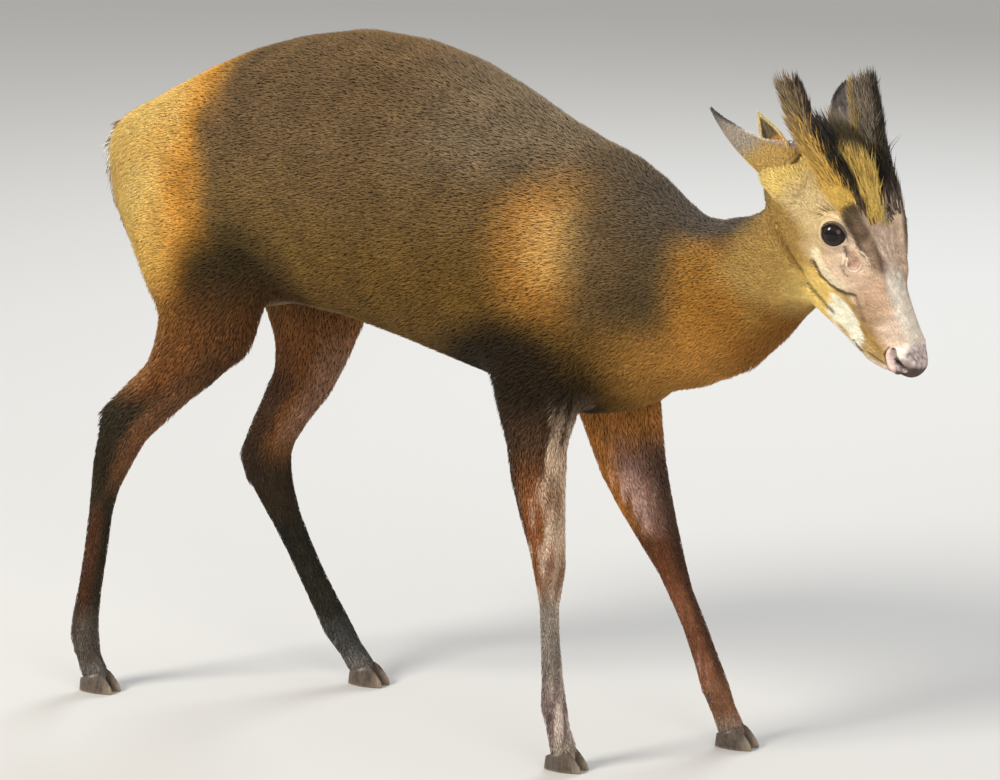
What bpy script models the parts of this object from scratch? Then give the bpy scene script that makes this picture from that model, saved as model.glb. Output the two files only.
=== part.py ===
"""A male muntjac, life size, standing with its head turned to its right.

Metres, Z up, the animal faces +X and its right side is towards -Y.
The flesh is lofted in named sections, fused, shaped and then parted by thin cuts.
"""
import math
import random
from collections import namedtuple

import bmesh
import bpy
import numpy as np
from mathutils import Matrix, Vector
from mathutils.bvhtree import BVHTree

# Driving dimensions
GAP = 0.0003
BODY_VOXEL = 0.0036
HEAD_VOXEL = 0.0017
BODY_FACES = 4800
HEAD_FACES = 2300
RING_SIDES = 28
# The fused skin is smoothed little on the legs and more on the trunk, above a height
BODY_RELAX = 14
HEAD_RELAX = 10
SOFT_FROM = 0.13
SOFT_RISE = 0.16
LEG_SOFTNESS = 0.12
TRUNK_SOFTNESS = 0.45
CUTTER_SIZE = 0.4
SHARP_ANGLE = 50

# The head sits on its own axes: forward along the palate, left, up, from midway between the eyes
HEAD_PLACE = Vector((0.420, -0.016, 0.439))
HEAD_YAW = -21.3
HEAD_PITCH = 35.6
HEAD_ROLL = -4.0

EYE_PLACE = (-0.0010, 0.0273, 0.0023)
EYE_RADIUS = 0.0122
LID_THICKNESS = 0.0019
EYE_OPENING = (0.0105, 0.0094)
EYE_TILT = 20.0
EYE_LOOK = (0.42, 0.88, 0.20)
LID_SIDES = 16

# Round forms of the head and strokes on its skin, in millimetres on the head's axes, radii in metres
BROW = ((50, 11, -6), (34, 14, 3), (18, 17, 12), (2, 20, 19), (-14, 22, 24), (-32, 26, 28))
BROW_RADII = (0.002, 0.005, 0.0075, 0.009, 0.010, 0.009)
EAR_ROOT = ((-50, 22, 0), (-62, 30, -3), (-74, 36, -4), (-80, 39, -3))
EAR_ROOT_RADII = (0.020, 0.0178, 0.0138, 0.0100)
GLAND_RIM = ((12, 31, -1), (20, 29, -8), (28, 27, -11), (34, 23, -5), (32, 21, 2))
GLAND_HOLLOW = ((16, 29, 1), (26, 25, -3))
CHEEK_EDGE = ((-8, 34, -18), (9, 34, -26), (26, 29, -29), (41, 22, -28))
BROW_GROOVE = ((40, 8, 4), (20, 9, 13), (5, 10, 20))
JAW_MUSCLE = ((-42, 30, -38), (-28, 31, -48), (-14, 30, -40))
NOSTRIL_WING = ((84, 14, -38), (90, 15, -31), (99, 12, -29), (103, 9, -33))
LIP = ((99, 8, -47), (88, 12, -47), (74, 14, -49), (58, 15, -51))
FACE_STROKES = (
    (GLAND_RIM, 0.0042, 0.0016), (GLAND_HOLLOW, 0.0060, -0.0022), (CHEEK_EDGE, 0.0060, -0.0022),
    (BROW_GROOVE, 0.0055, -0.0016), (JAW_MUSCLE, 0.0200, 0.0025), (NOSTRIL_WING, 0.0042, 0.0014),
    (LIP, 0.0045, 0.0012),
)
FAR_GLAND = ((26, 27, -9), (40, 22, -4))
FAR_GLAND_RADIUS = 0.0120
FAR_GLAND_LIFT = 0.0022

# Mouth and nostril, in millimetres on the head's axes
MOUTH_LINE = ((100, 3, -48), (96, 7, -50), (88, 11, -52), (76, 12.5, -55), (64, 13, -58), (54, 13.5, -59))
MOUTH_DEPTH = 0.0003
MOUTH_RADIUS = 0.0011
NOSTRIL = ((87, 14, -31), (93, 14, -35), (98.5, 12, -37.5), (103.5, 9, -37.5))
NOSTRIL_DEPTH = 0.0006
NOSTRIL_RADII = (0.0009, 0.0016, 0.0025, 0.0016)

# Where the neck leaves the trunk, and the head the neck
NECK_CUT = Vector((0.236, 0.0, 0.385))
NECK_CUT_NORMAL = Vector((0.970, 0.0, 0.240))
HEAD_CUT = Vector((-0.079, 0.0, -0.015))
HEAD_CUT_NORMAL = Vector((0.960, 0.0, 0.280))

# A section of a form: its middle, half its depth and half its width, how much narrower it is
# at the top, and the power of its outline (2 is an ellipse, more is squarer)
Ring = namedtuple("Ring", "x y z depth width taper power", defaults=(0.0, 2.0))

# Trunk sections from the rump to the chest: place along the body, top, bottom, half width, taper
TRUNK = (
    (-0.268, 0.462, 0.430, 0.016, 0.00),
    (-0.259, 0.473, 0.402, 0.030, 0.00),
    (-0.245, 0.482, 0.376, 0.045, 0.00),
    (-0.226, 0.491, 0.352, 0.061, 0.02),
    (-0.200, 0.505, 0.334, 0.075, 0.04),
    (-0.168, 0.521, 0.322, 0.083, 0.08),
    (-0.130, 0.5375, 0.323, 0.086, 0.12),
    (-0.085, 0.5505, 0.333, 0.087, 0.14),
    (-0.030, 0.5595, 0.3275, 0.090, 0.14),
    (0.025, 0.555, 0.3155, 0.092, 0.14),
    (0.070, 0.543, 0.304, 0.090, 0.16),
    (0.110, 0.5255, 0.2935, 0.085, 0.20),
    (0.150, 0.5055, 0.2790, 0.077, 0.24),
    (0.185, 0.4905, 0.2715, 0.069, 0.24),
    (0.215, 0.480, 0.2765, 0.060, 0.22),
    (0.245, 0.462, 0.2885, 0.048, 0.16),
)
TRUNK_POWER = 2.15

NECK = (
    Ring(0.180, 0.000, 0.3815, 0.0955, 0.064, 0.16),
    Ring(0.215, 0.000, 0.378, 0.094, 0.058, 0.14),
    Ring(0.245, -0.001, 0.374, 0.082, 0.050, 0.10),
    Ring(0.275, -0.002, 0.3735, 0.0715, 0.043, 0.08),
    Ring(0.300, -0.003, 0.380, 0.063, 0.038, 0.06),
    Ring(0.322, -0.003, 0.392, 0.0535, 0.036, 0.05),
    Ring(0.345, -0.004, 0.407, 0.0445, 0.035, 0.04),
    Ring(0.366, -0.006, 0.424, 0.0385, 0.033),
)

# Legs from the body down, each ring across the limb
NEAR_FORE = (
    Ring(0.158, -0.046, 0.365, 0.046, 0.026),
    Ring(0.162, -0.055, 0.320, 0.044, 0.027),
    Ring(0.165, -0.059, 0.285, 0.036, 0.024),
    Ring(0.165, -0.061, 0.258, 0.0268, 0.0200),
    Ring(0.167, -0.062, 0.229, 0.0235, 0.0180),
    Ring(0.171, -0.062, 0.200, 0.0190, 0.0160),
    Ring(0.175, -0.062, 0.176, 0.0152, 0.0142),
    Ring(0.177, -0.062, 0.160, 0.0135, 0.0135),
    Ring(0.177, -0.062, 0.146, 0.0112, 0.0110),
    Ring(0.177, -0.062, 0.130, 0.0086, 0.0084),
    Ring(0.178, -0.062, 0.100, 0.0083, 0.0081),
    Ring(0.180, -0.062, 0.070, 0.0092, 0.0090),
    Ring(0.181, -0.062, 0.050, 0.0108, 0.0110),
    Ring(0.185, -0.062, 0.033, 0.0098, 0.0102),
    Ring(0.190, -0.062, 0.016, 0.0110, 0.0110),
    Ring(0.192, -0.062, 0.004, 0.0100, 0.0102),
)
FAR_FORE = (
    Ring(0.160, 0.046, 0.350, 0.046, 0.026),
    Ring(0.163, 0.054, 0.310, 0.045, 0.027),
    Ring(0.1675, 0.059, 0.275, 0.0395, 0.025),
    Ring(0.1735, 0.061, 0.246, 0.0345, 0.0220),
    Ring(0.181, 0.062, 0.217, 0.0298, 0.0195),
    Ring(0.191, 0.062, 0.193, 0.0248, 0.0175),
    Ring(0.2005, 0.062, 0.172, 0.0197, 0.0158),
    Ring(0.2092, 0.062, 0.154, 0.0158, 0.0142),
    Ring(0.217, 0.062, 0.138, 0.0124, 0.0118),
    Ring(0.225, 0.062, 0.119, 0.0106, 0.0098),
    Ring(0.236, 0.062, 0.097, 0.0102, 0.0094),
    Ring(0.247, 0.062, 0.071, 0.0106, 0.0100),
    Ring(0.256, 0.062, 0.048, 0.0118, 0.0114),
    Ring(0.264, 0.062, 0.030, 0.0106, 0.0104),
    Ring(0.271, 0.062, 0.015, 0.0112, 0.0110),
    Ring(0.275, 0.062, 0.004, 0.0100, 0.0102),
)
NEAR_HIND = (
    Ring(-0.176, -0.042, 0.440, 0.070, 0.034),
    Ring(-0.154, -0.054, 0.395, 0.066, 0.034),
    Ring(-0.139, -0.061, 0.350, 0.059, 0.031),
    Ring(-0.1425, -0.065, 0.315, 0.0450, 0.027),
    Ring(-0.162, -0.066, 0.288, 0.0320, 0.0225),
    Ring(-0.1795, -0.066, 0.267, 0.0250, 0.0185),
    Ring(-0.198, -0.066, 0.250, 0.0235, 0.0160),
    Ring(-0.217, -0.066, 0.232, 0.0225, 0.0142),
    Ring(-0.228, -0.066, 0.214, 0.0210, 0.0135),
    Ring(-0.236, -0.066, 0.194, 0.0172, 0.0128),
    Ring(-0.242, -0.066, 0.176, 0.0130, 0.0116),
    Ring(-0.247, -0.066, 0.155, 0.0108, 0.0100),
    Ring(-0.253, -0.066, 0.120, 0.0104, 0.0096),
    Ring(-0.260, -0.066, 0.085, 0.0104, 0.0098),
    Ring(-0.265, -0.066, 0.060, 0.0118, 0.0112),
    Ring(-0.266, -0.066, 0.045, 0.0126, 0.0122),
    Ring(-0.262, -0.066, 0.028, 0.0106, 0.0106),
    Ring(-0.256, -0.066, 0.014, 0.0114, 0.0110),
    Ring(-0.253, -0.066, 0.004, 0.0102, 0.0102),
)
FAR_HIND = (
    Ring(-0.165, 0.042, 0.440, 0.070, 0.034),
    Ring(-0.138, 0.053, 0.390, 0.070, 0.034),
    Ring(-0.122, 0.060, 0.345, 0.060, 0.031),
    Ring(-0.121, 0.064, 0.312, 0.049, 0.028),
    Ring(-0.126, 0.066, 0.280, 0.0355, 0.0245),
    Ring(-0.135, 0.066, 0.252, 0.0280, 0.0210),
    Ring(-0.150, 0.066, 0.227, 0.0225, 0.0175),
    Ring(-0.165, 0.066, 0.204, 0.0215, 0.0150),
    Ring(-0.172, 0.066, 0.186, 0.0238, 0.0140),
    Ring(-0.170, 0.066, 0.170, 0.0222, 0.0135),
    Ring(-0.163, 0.066, 0.153, 0.0178, 0.0128),
    Ring(-0.153, 0.066, 0.132, 0.0138, 0.0114),
    Ring(-0.141, 0.066, 0.110, 0.0122, 0.0104),
    Ring(-0.129, 0.066, 0.088, 0.0118, 0.0102),
    Ring(-0.116, 0.066, 0.066, 0.0120, 0.0108),
    Ring(-0.104, 0.066, 0.046, 0.0128, 0.0122),
    Ring(-0.091, 0.066, 0.029, 0.0108, 0.0106),
    Ring(-0.079, 0.066, 0.014, 0.0114, 0.0110),
    Ring(-0.075, 0.066, 0.004, 0.0102, 0.0102),
)

# Points of the hocks, where the heel tendon joins: top of the tendon, middle and point
HEEL_SIDE = 0.066
NEAR_HEEL = ((-0.186, 0.290, 0.006), (-0.214, 0.263, 0.006), (-0.239, 0.238, 0.0085), (-0.238, 0.215, 0.008))
FAR_HEEL = ((-0.160, 0.255, 0.006), (-0.176, 0.220, 0.006), (-0.191, 0.182, 0.0085), (-0.184, 0.160, 0.008))

# Feet: the middle of the two claws on the floor, and where each leg is cut from the trunk
Leg = namedtuple("Leg", "rings side foot fetlock")
LEGS = {
    "fore_right": Leg(NEAR_FORE, -1, (0.193, -0.062), (0.174, 0.041)),
    "fore_left": Leg(FAR_FORE, 1, (0.277, 0.062), (0.249, 0.040)),
    "hind_right": Leg(NEAR_HIND, -1, (-0.251, -0.066), (-0.276, 0.036)),
    "hind_left": Leg(FAR_HIND, 1, (-0.072, 0.066), (-0.106, 0.034)),
}
FORE_BLOCK = (0.070, 0.340, 0.302, 0.55)
HIND_BLOCK = (-0.340, -0.020, 0.333, 0.80)
LEG_BLOCK_MIDDLE = 0.050

HOOF_LENGTH = 0.032
HOOF_WIDTH = 0.0114
HOOF_HEIGHT = 0.026
HOOF_SPACING = 0.0118
HOOF_SIDES = 16
HOOF_TOE_NARROWS = 0.42
HOOF_INNER_WALL = 0.86
# A claw's sections from the floor up: height, and shares of its length and width, and how far back it lies
HOOF_ROWS = (
    (0.0, 0.97, 0.90, 0.0), (0.0035, 1.0, 1.0, -0.0003), (0.0100, 0.92, 1.0, -0.0018),
    (0.0170, 0.80, 0.95, -0.0040), (HOOF_HEIGHT, 0.64, 0.86, -0.0070),
)
DEWCLAW_SPACING = 0.0075
CORONET_HEIGHT = 0.0190
CORONET_SLOPE = 24.0
DEWCLAW_RADIUS = 0.0042

# The head's own sections in millimetres: place, top, bottom, half width
HEAD_POWER = 2.3
SKULL = (
    (104, -31, -42, 8),
    (100, -26, -47, 12.5),
    (92, -19, -50, 15),
    (80, -15, -51, 15.5),
    (65, -9, -53, 16.5),
    (50, -3, -55, 18.5),
    (35, 4, -56, 22),
    (20, 12, -57, 27),
    (5, 19, -58, 31),
    (-10, 25, -58, 33.5),
    (-25, 29, -58, 35),
    (-45, 32, -57, 35),
    (-65, 31, -54, 34),
    (-80, 25, -48, 31),
    (-93, 12, -36, 22),
)
JAW = (
    (93, -45, -53, 6),
    (85, -43, -57, 9.5),
    (70, -42, -63, 11.5),
    (50, -42, -66, 12.5),
    (28, -40, -68, 15),
    (9, -36, -70, 19),
    (-10, -30, -71, 23),
    (-30, -25, -71, 26),
    (-48, -20, -66, 27),
    (-62, -15, -56, 25),
    (-76, -10, -42, 18),
)

# Ears and pedicles on the head's axes, in millimetres, for the animal's right side
# A cup is a leaf rolled about its axis: radius and half its turn at steps from root to tip
Cup = namedtuple("Cup", "radii half_turns columns bow thickness")
EAR_BASE = (-69, -38, -4)
NEAR_EAR_TIP = (-124, -75, 17)
FAR_EAR_TIP = (-134, -66, 27)
NEAR_EAR_OPENS = (-0.44, 0.80, 0.40)
FAR_EAR_OPENS = (0.50, -0.45, 0.55)
FAR_EAR_SPREAD = 1.3
EAR_LEAF = Cup(
    (19.0, 18.2, 16.8, 15.2, 13.8, 12.6, 11.3, 10.0, 8.4, 6.2, 3.4, 0.6),
    (2.6, 2.3, 2.05, 1.85, 1.7, 1.6, 1.5, 1.35, 1.2, 1.05, 0.9, 0.8),
    9, 5.0, 1.9,
)
LOBE_BASE = (-77, -34, 9)
LOBE_TIP = (-111, -42, 27)
LOBE_LEAF = Cup((7.6, 8.4, 8.2, 6.6, 4.2, 0.6), (1.5, 1.4, 1.25, 1.1, 0.9, 0.8), 5, -1.0, 1.7)
LOBE_OPEN_TOWARDS = (0.50, 0.64, 0.58)
PEDICLE = (
    (4, -17, 13, 8.5),
    (-11, -19, 22, 11.5),
    (-29, -24, 30, 13.0),
    (-49, -30.5, 37, 13.2),
    (-69, -36, 45, 13.0),
    (-86, -38.5, 54, 12.2),
    (-98, -40.5, 61, 9.5),
    (-105, -41, 64, 5.0),
)
PEDICLE_CORE = 0.70
PEDICLE_CORE_REACH = 0.84
FAR_PEDICLE_SCALE = 0.91

# Locks of long hair: how many, and how far each reaches, in metres
PEDICLE_LOCKS = {"pedicle_right": 36, "pedicle_left": 30}
PEDICLE_LOCK_LENGTH = (0.023, 0.031)
PEDICLE_LOCK_WIDTH = (0.0066, 0.0092)
TAIL_LOCKS = 18
TAIL_LOCK_LENGTH = (0.026, 0.038)
TAIL_LOCK_WIDTH = (0.0070, 0.0095)
LOCK_THICKNESS = 0.0022
LOCK_WIDTHS = (0.62, 1.0, 0.92, 0.62)
GOLDEN_TURN = 2.39996
LOCK_SEED = 7

TAIL = (
    Ring(-0.240, 0.0, 0.468, 0.0080, 0.0120),
    Ring(-0.262, 0.0, 0.463, 0.0080, 0.0130),
    Ring(-0.2710, 0.0, 0.450, 0.0075, 0.0135),
    Ring(-0.2730, 0.0, 0.430, 0.0075, 0.0135),
    Ring(-0.2695, 0.0, 0.408, 0.0070, 0.0130),
    Ring(-0.2615, 0.0, 0.387, 0.0060, 0.0110),
    Ring(-0.2525, 0.0, 0.370, 0.0040, 0.0070),
)


def head_matrix():
    """The place and turn of the head's own axes."""
    turn = (
        Matrix.Rotation(math.radians(HEAD_YAW), 4, "Z")
        @ Matrix.Rotation(math.radians(HEAD_PITCH), 4, "Y")
        @ Matrix.Rotation(math.radians(HEAD_ROLL), 4, "X")
    )
    return Matrix.Translation(HEAD_PLACE) @ turn


HEAD = head_matrix()


def head_point(x, y, z):
    """A point given in millimetres on the head's axes."""
    return HEAD @ Vector((x / 1000, y / 1000, z / 1000))


def clear_scene():
    for item in list(bpy.data.objects):
        bpy.data.objects.remove(item, do_unlink=True)


def make_material(name, colour, roughness):
    material = bpy.data.materials.new(name)
    material.use_nodes = True
    shader = material.node_tree.nodes["Principled BSDF"]
    shader.inputs["Base Color"].default_value = (*colour, 1.0)
    shader.inputs["Roughness"].default_value = roughness
    shader.inputs["Metallic"].default_value = 0.0
    return material


def make_object(name, mesh, collection):
    item = bpy.data.objects.new(name, mesh)
    collection.objects.link(item)
    return item


def replace_mesh(item, mesh):
    old = item.data
    item.modifiers.clear()
    item.data = mesh
    bpy.data.meshes.remove(old)


def apply_modifiers(item):
    evaluated = item.evaluated_get(bpy.context.evaluated_depsgraph_get())
    replace_mesh(item, bpy.data.meshes.new_from_object(evaluated))


def ring_outline(ring, along, across, sides):
    """The points of one section, square to the path."""
    side = (across - along * across.dot(along)).normalized()
    rise = along.cross(side)
    points = []
    for step in range(sides):
        angle = 2 * math.pi * step / sides
        c = math.cos(angle)
        s = math.sin(angle)
        right = math.copysign(abs(c) ** (2 / ring.power), c) * ring.width
        high = math.copysign(abs(s) ** (2 / ring.power), s)
        right *= 1 - ring.taper * high
        points.append(Vector((ring.x, ring.y, ring.z)) + side * right + rise * high * ring.depth)
    return points


def skin_rings(name, outlines, collection):
    """A closed surface through outlines of equal numbers of points."""
    bm = bmesh.new()
    rows = [[bm.verts.new(point) for point in outline] for outline in outlines]
    sides = len(rows[0])
    for low, high in zip(rows, rows[1:]):
        for step in range(sides):
            after = (step + 1) % sides
            bm.faces.new((low[step], low[after], high[after], high[step]))
    for row in (rows[0], rows[-1]):
        middle = bm.verts.new(sum((v.co for v in row), Vector()) / sides)
        for step in range(sides):
            bm.faces.new((row[step], row[(step + 1) % sides], middle))
    bmesh.ops.recalc_face_normals(bm, faces=bm.faces)
    mesh = bpy.data.meshes.new(name)
    bm.to_mesh(mesh)
    bm.free()
    return make_object(name, mesh, collection)


def loft(name, rings, across, collection, frame=None, sides=RING_SIDES, upright=False):
    """A closed form through its rings, square to their path unless they stand upright.

    frame places rings that are given on the head's axes.
    """
    middles = [Vector((ring.x, ring.y, ring.z)) for ring in rings]
    outlines = []
    for index, ring in enumerate(rings):
        before = middles[max(index - 1, 0)]
        after = middles[min(index + 1, len(rings) - 1)]
        heading = Vector((1, 0, 0)) if upright else (after - before).normalized()
        outline = ring_outline(ring, heading, Vector(across), sides)
        outlines.append([frame @ point if frame else point for point in outline])
    return skin_rings(name, outlines, collection)


def tube(name, points, radii, collection, frame=None, sides=12):
    """A round form along a path, with a given radius at each point."""
    rings = [Ring(*point, radius, radius) for point, radius in zip(points, radii)]
    path = Vector(points[-1]) - Vector(points[0])
    across = (0, 1, 0) if abs(path.normalized().y) < 0.8 else (1, 0, 0)
    return loft(name, rings, across, collection, frame, sides)


def ball(name, place, radius, collection, segments=24):
    bm = bmesh.new()
    bmesh.ops.create_uvsphere(bm, u_segments=segments, v_segments=segments * 2 // 3, radius=radius)
    for vert in bm.verts:
        vert.co += Vector(place)
    mesh = bpy.data.meshes.new(name)
    bm.to_mesh(mesh)
    bm.free()
    return make_object(name, mesh, collection)


def trunk_rings():
    return [
        Ring(x, 0.0, (top + bottom) / 2, (top - bottom) / 2, width, taper, TRUNK_POWER)
        for x, top, bottom, width, taper in TRUNK
    ]


def head_rings(table, taper):
    """Rings of the head's tables, on the head's axes in metres."""
    rings = []
    for x, top, bottom, width in table:
        middle = (top + bottom) / 2000
        rings.append(Ring(x / 1000, 0.0, middle, (top - bottom) / 2000, width / 1000, taper, HEAD_POWER))
    return rings


def join(name, pieces, collection):
    """One object that holds the meshes of all the pieces."""
    bm = bmesh.new()
    for piece in pieces:
        copy = piece.data.copy()
        copy.transform(piece.matrix_world)
        bm.from_mesh(copy)
        bpy.data.meshes.remove(copy)
        bpy.data.objects.remove(piece, do_unlink=True)
    mesh = bpy.data.meshes.new(name)
    bm.to_mesh(mesh)
    bm.free()
    return make_object(name, mesh, collection)


def fuse(name, pieces, voxel, collection):
    """Closed pieces that cross become one closed skin of small faces."""
    item = join(name, pieces, collection)
    remesh = item.modifiers.new("fuse", "REMESH")
    remesh.mode = "VOXEL"
    remesh.voxel_size = voxel
    apply_modifiers(item)
    return item


def read_points(item):
    points = np.empty(len(item.data.vertices) * 3)
    item.data.vertices.foreach_get("co", points)
    return points.reshape(-1, 3)


def read_normals(item):
    normals = np.empty(len(item.data.vertices) * 3)
    item.data.vertices.foreach_get("normal", normals)
    return normals.reshape(-1, 3)


def write_points(item, points):
    item.data.vertices.foreach_set("co", points.ravel())
    item.data.update()


def relax(item, repeats, weight):
    """Moves each point towards the mean of its neighbours, as far as its weight says."""
    points = read_points(item)
    edges = np.empty(len(item.data.edges) * 2, dtype=np.int64)
    item.data.edges.foreach_get("vertices", edges)
    edges = edges.reshape(-1, 2)
    ends = np.concatenate([edges[:, 0], edges[:, 1]])
    others = np.concatenate([edges[:, 1], edges[:, 0]])
    count = np.bincount(ends, minlength=len(points))
    for _ in range(repeats):
        mean = np.stack([
            np.bincount(ends, points[others, axis], minlength=len(points)) / count
            for axis in range(3)
        ], axis=1)
        points = points + (mean - points) * weight[:, None]
    write_points(item, points)


def distance_to_path(points, path):
    """The shortest distance from each point to a path of straight lengths."""
    nearest = np.full(len(points), np.inf)
    for start, end in zip(path, path[1:]):
        start = np.array(start)
        length = np.array(end) - start
        share = np.clip((points - start) @ length / (length @ length), 0, 1)
        offset = points - start - share[:, None] * length
        nearest = np.minimum(nearest, np.linalg.norm(offset, axis=1))
    return nearest


def stroke(item, path, radius, lift):
    """Raises the skin along a path, or presses it in where lift is negative."""
    points = read_points(item)
    normals = read_normals(item)
    distance = distance_to_path(points, path)
    fade = np.clip(1 - (distance / radius) ** 2, 0, None) ** 2
    write_points(item, points + normals * (fade * lift)[:, None])


def on_head(path, side):
    """A path in millimetres on the head, for the animal's right (-1) or left (1) side."""
    return [tuple(head_point(x, side * abs(y), z)) for x, y, z in path]


def thin_out(item, faces):
    """Fewer, larger triangles that keep the form."""
    item.data.calc_loop_triangles()
    count = len(item.data.loop_triangles)
    decimate = item.modifiers.new("thin", "DECIMATE")
    decimate.ratio = min(1.0, faces / count)
    decimate.use_collapse_triangulate = True
    apply_modifiers(item)


def keep_largest(item):
    """Keeps only the largest closed surface of an object."""
    bm = bmesh.new()
    bm.from_mesh(item.data)
    bm.verts.ensure_lookup_table()
    left = set(bm.verts)
    groups = []
    while left:
        group = {left.pop()}
        edge_of_group = list(group)
        while edge_of_group:
            vert = edge_of_group.pop()
            for edge in vert.link_edges:
                other = edge.other_vert(vert)
                if other in left:
                    left.discard(other)
                    group.add(other)
                    edge_of_group.append(other)
        groups.append(group)
    largest = max(groups, key=len)
    bmesh.ops.delete(bm, geom=[v for v in bm.verts if v not in largest], context="VERTS")
    bm.to_mesh(item.data)
    bm.free()


def combine(item, other, operation, solver="EXACT"):
    """A Boolean of two closed objects; the other one is used up."""
    boolean = item.modifiers.new("combine", "BOOLEAN")
    boolean.operation = operation
    boolean.solver = solver
    boolean.object = other
    apply_modifiers(item)
    bpy.data.objects.remove(other, do_unlink=True)
    keep_largest(item)


def copy_of(item, name, collection):
    return make_object(name, item.data.copy(), collection)


def grown(item, name, collection, by=GAP):
    """A copy whose skin lies a little further out."""
    copy = copy_of(item, name, collection)
    write_points(copy, read_points(copy) + read_normals(copy) * by)
    return copy


def half_space(name, place, normal, collection):
    """A block whose face lies at a place and that fills the side its normal points to."""
    bm = bmesh.new()
    bmesh.ops.create_cube(bm, size=2 * CUTTER_SIZE)
    turn = Vector(normal).normalized().to_track_quat("Z", "Y").to_matrix().to_4x4()
    centre = Vector(place) + Vector(normal).normalized() * CUTTER_SIZE
    bm.transform(Matrix.Translation(centre) @ turn)
    mesh = bpy.data.meshes.new(name)
    bm.to_mesh(mesh)
    bm.free()
    return make_object(name, mesh, collection)


def leg_block(name, leg, limits, collection, clear=0.0):
    """The space below a slanted plane that a leg has to itself; clear makes it larger."""
    rear, front, height, slope = limits
    bm = bmesh.new()
    for x in (rear - clear, front + clear):
        for y in (-leg.side * clear, leg.side * CUTTER_SIZE):
            rise = slope * (leg.side * y - LEG_BLOCK_MIDDLE)
            bm.verts.new((x, y, -CUTTER_SIZE))
            bm.verts.new((x, y, height + rise + clear * math.hypot(1, slope)))
    bmesh.ops.convex_hull(bm, input=bm.verts)
    bmesh.ops.recalc_face_normals(bm, faces=bm.faces)
    mesh = bpy.data.meshes.new(name)
    bm.to_mesh(mesh)
    bm.free()
    return make_object(name, mesh, collection)


def heel_tendon(name, points, side_y, collection):
    path = [(x, side_y, z) for x, z, _ in points]
    return tube(name, path, [radius for _, _, radius in points], collection)


def make_body(parts):
    """Trunk, neck and legs as one skin."""
    pieces = [
        loft("trunk", trunk_rings(), (0, 1, 0), parts, upright=True),
        loft("neck_form", NECK, (0, 1, 0), parts),
        loft("skull_rear", head_rings(SKULL[6:], 0.0), (0, 1, 0), parts, HEAD),
        loft("jaw_rear", head_rings(JAW[5:], 0.0), (0, 1, 0), parts, HEAD),
        heel_tendon("heel_right", NEAR_HEEL, -HEEL_SIDE, parts),
        heel_tendon("heel_left", FAR_HEEL, HEEL_SIDE, parts),
    ]
    for name, leg in LEGS.items():
        pieces.append(loft("leg_" + name, leg.rings, (0, 1, 0), parts))
    body = fuse("torso", pieces, BODY_VOXEL, parts)
    points = read_points(body)
    share = np.clip((points[:, 2] - SOFT_FROM) / SOFT_RISE, 0, 1)
    relax(body, BODY_RELAX, LEG_SOFTNESS + TRUNK_SOFTNESS * share)
    return body


def make_head(parts):
    """Skull, jaw, lids, brows and nose as one skin, shaped in strokes."""
    pieces = [
        loft("skull", head_rings(SKULL, 0.10), (0, 1, 0), parts, HEAD),
        loft("jaw", head_rings(JAW, -0.10), (0, 1, 0), parts, HEAD),
        loft("neck_rear", NECK[3:], (0, 1, 0), parts),
    ]
    for side in (-1, 1):
        eye = HEAD @ Vector((EYE_PLACE[0], side * EYE_PLACE[1], EYE_PLACE[2]))
        pieces.append(ball("orbit", eye, EYE_RADIUS + LID_THICKNESS, parts))
        pieces.append(tube("brow", on_head(BROW, side), BROW_RADII, parts))
        pieces.append(tube("ear_root", on_head(EAR_ROOT, side), EAR_ROOT_RADII, parts))
    head = fuse("head", pieces, HEAD_VOXEL, parts)
    relax(head, HEAD_RELAX, np.full(len(head.data.vertices), 0.5))
    for side in (-1, 1):
        shape_face(head, side)
    relax(head, 1, np.full(len(head.data.vertices), 0.3))
    return head


def shape_face(head, side):
    """The small forms of one side of the face."""
    for path, radius, lift in FACE_STROKES:
        stroke(head, on_head(path, side), radius, lift)
    if side > 0:
        stroke(head, on_head(FAR_GLAND, side), FAR_GLAND_RADIUS, FAR_GLAND_LIFT)


def eye_frame(side):
    """The eye's middle, the way it looks, and the two axes of its lid opening, on the head."""
    middle = Vector((EYE_PLACE[0], side * EYE_PLACE[1], EYE_PLACE[2]))
    look = Vector((EYE_LOOK[0], side * EYE_LOOK[1], EYE_LOOK[2])).normalized()
    tilt = math.radians(EYE_TILT)
    corner = Vector((math.cos(tilt), 0.0, math.sin(tilt)))
    corner = (corner - look * corner.dot(look)).normalized()
    return middle, look, corner, side * corner.cross(look)


def cut_eye_sockets(head, cutters):
    """Cuts a socket and a lid opening for each eye."""
    for side in (-1, 1):
        middle, look, corner, rise = eye_frame(side)
        socket = ball("socket", HEAD @ middle, EYE_RADIUS + GAP, cutters, 20)
        rows = []
        for reach, scale in ((0.002, 0.40), (EYE_RADIUS * 0.7, 1.0), (0.024, 1.6)):
            row = []
            for step in range(LID_SIDES):
                angle = 2 * math.pi * step / LID_SIDES
                along = math.cos(angle) * EYE_OPENING[0] * scale
                high = math.sin(angle) * EYE_OPENING[1] * scale
                row.append(HEAD @ (middle + look * reach + corner * along + rise * high))
            rows.append(row)
        combine(socket, skin_rings("lid_opening", rows, cutters), "UNION")
        combine(head, socket, "DIFFERENCE")


def surface_path(item, path, depth):
    """Points of a path moved onto an object's skin and then in by a depth."""
    tree = BVHTree.FromObject(item, bpy.context.evaluated_depsgraph_get())
    points = []
    for point in path:
        place, normal, _, _ = tree.find_nearest(Vector(point))
        points.append(place - normal * depth)
    return points


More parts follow.
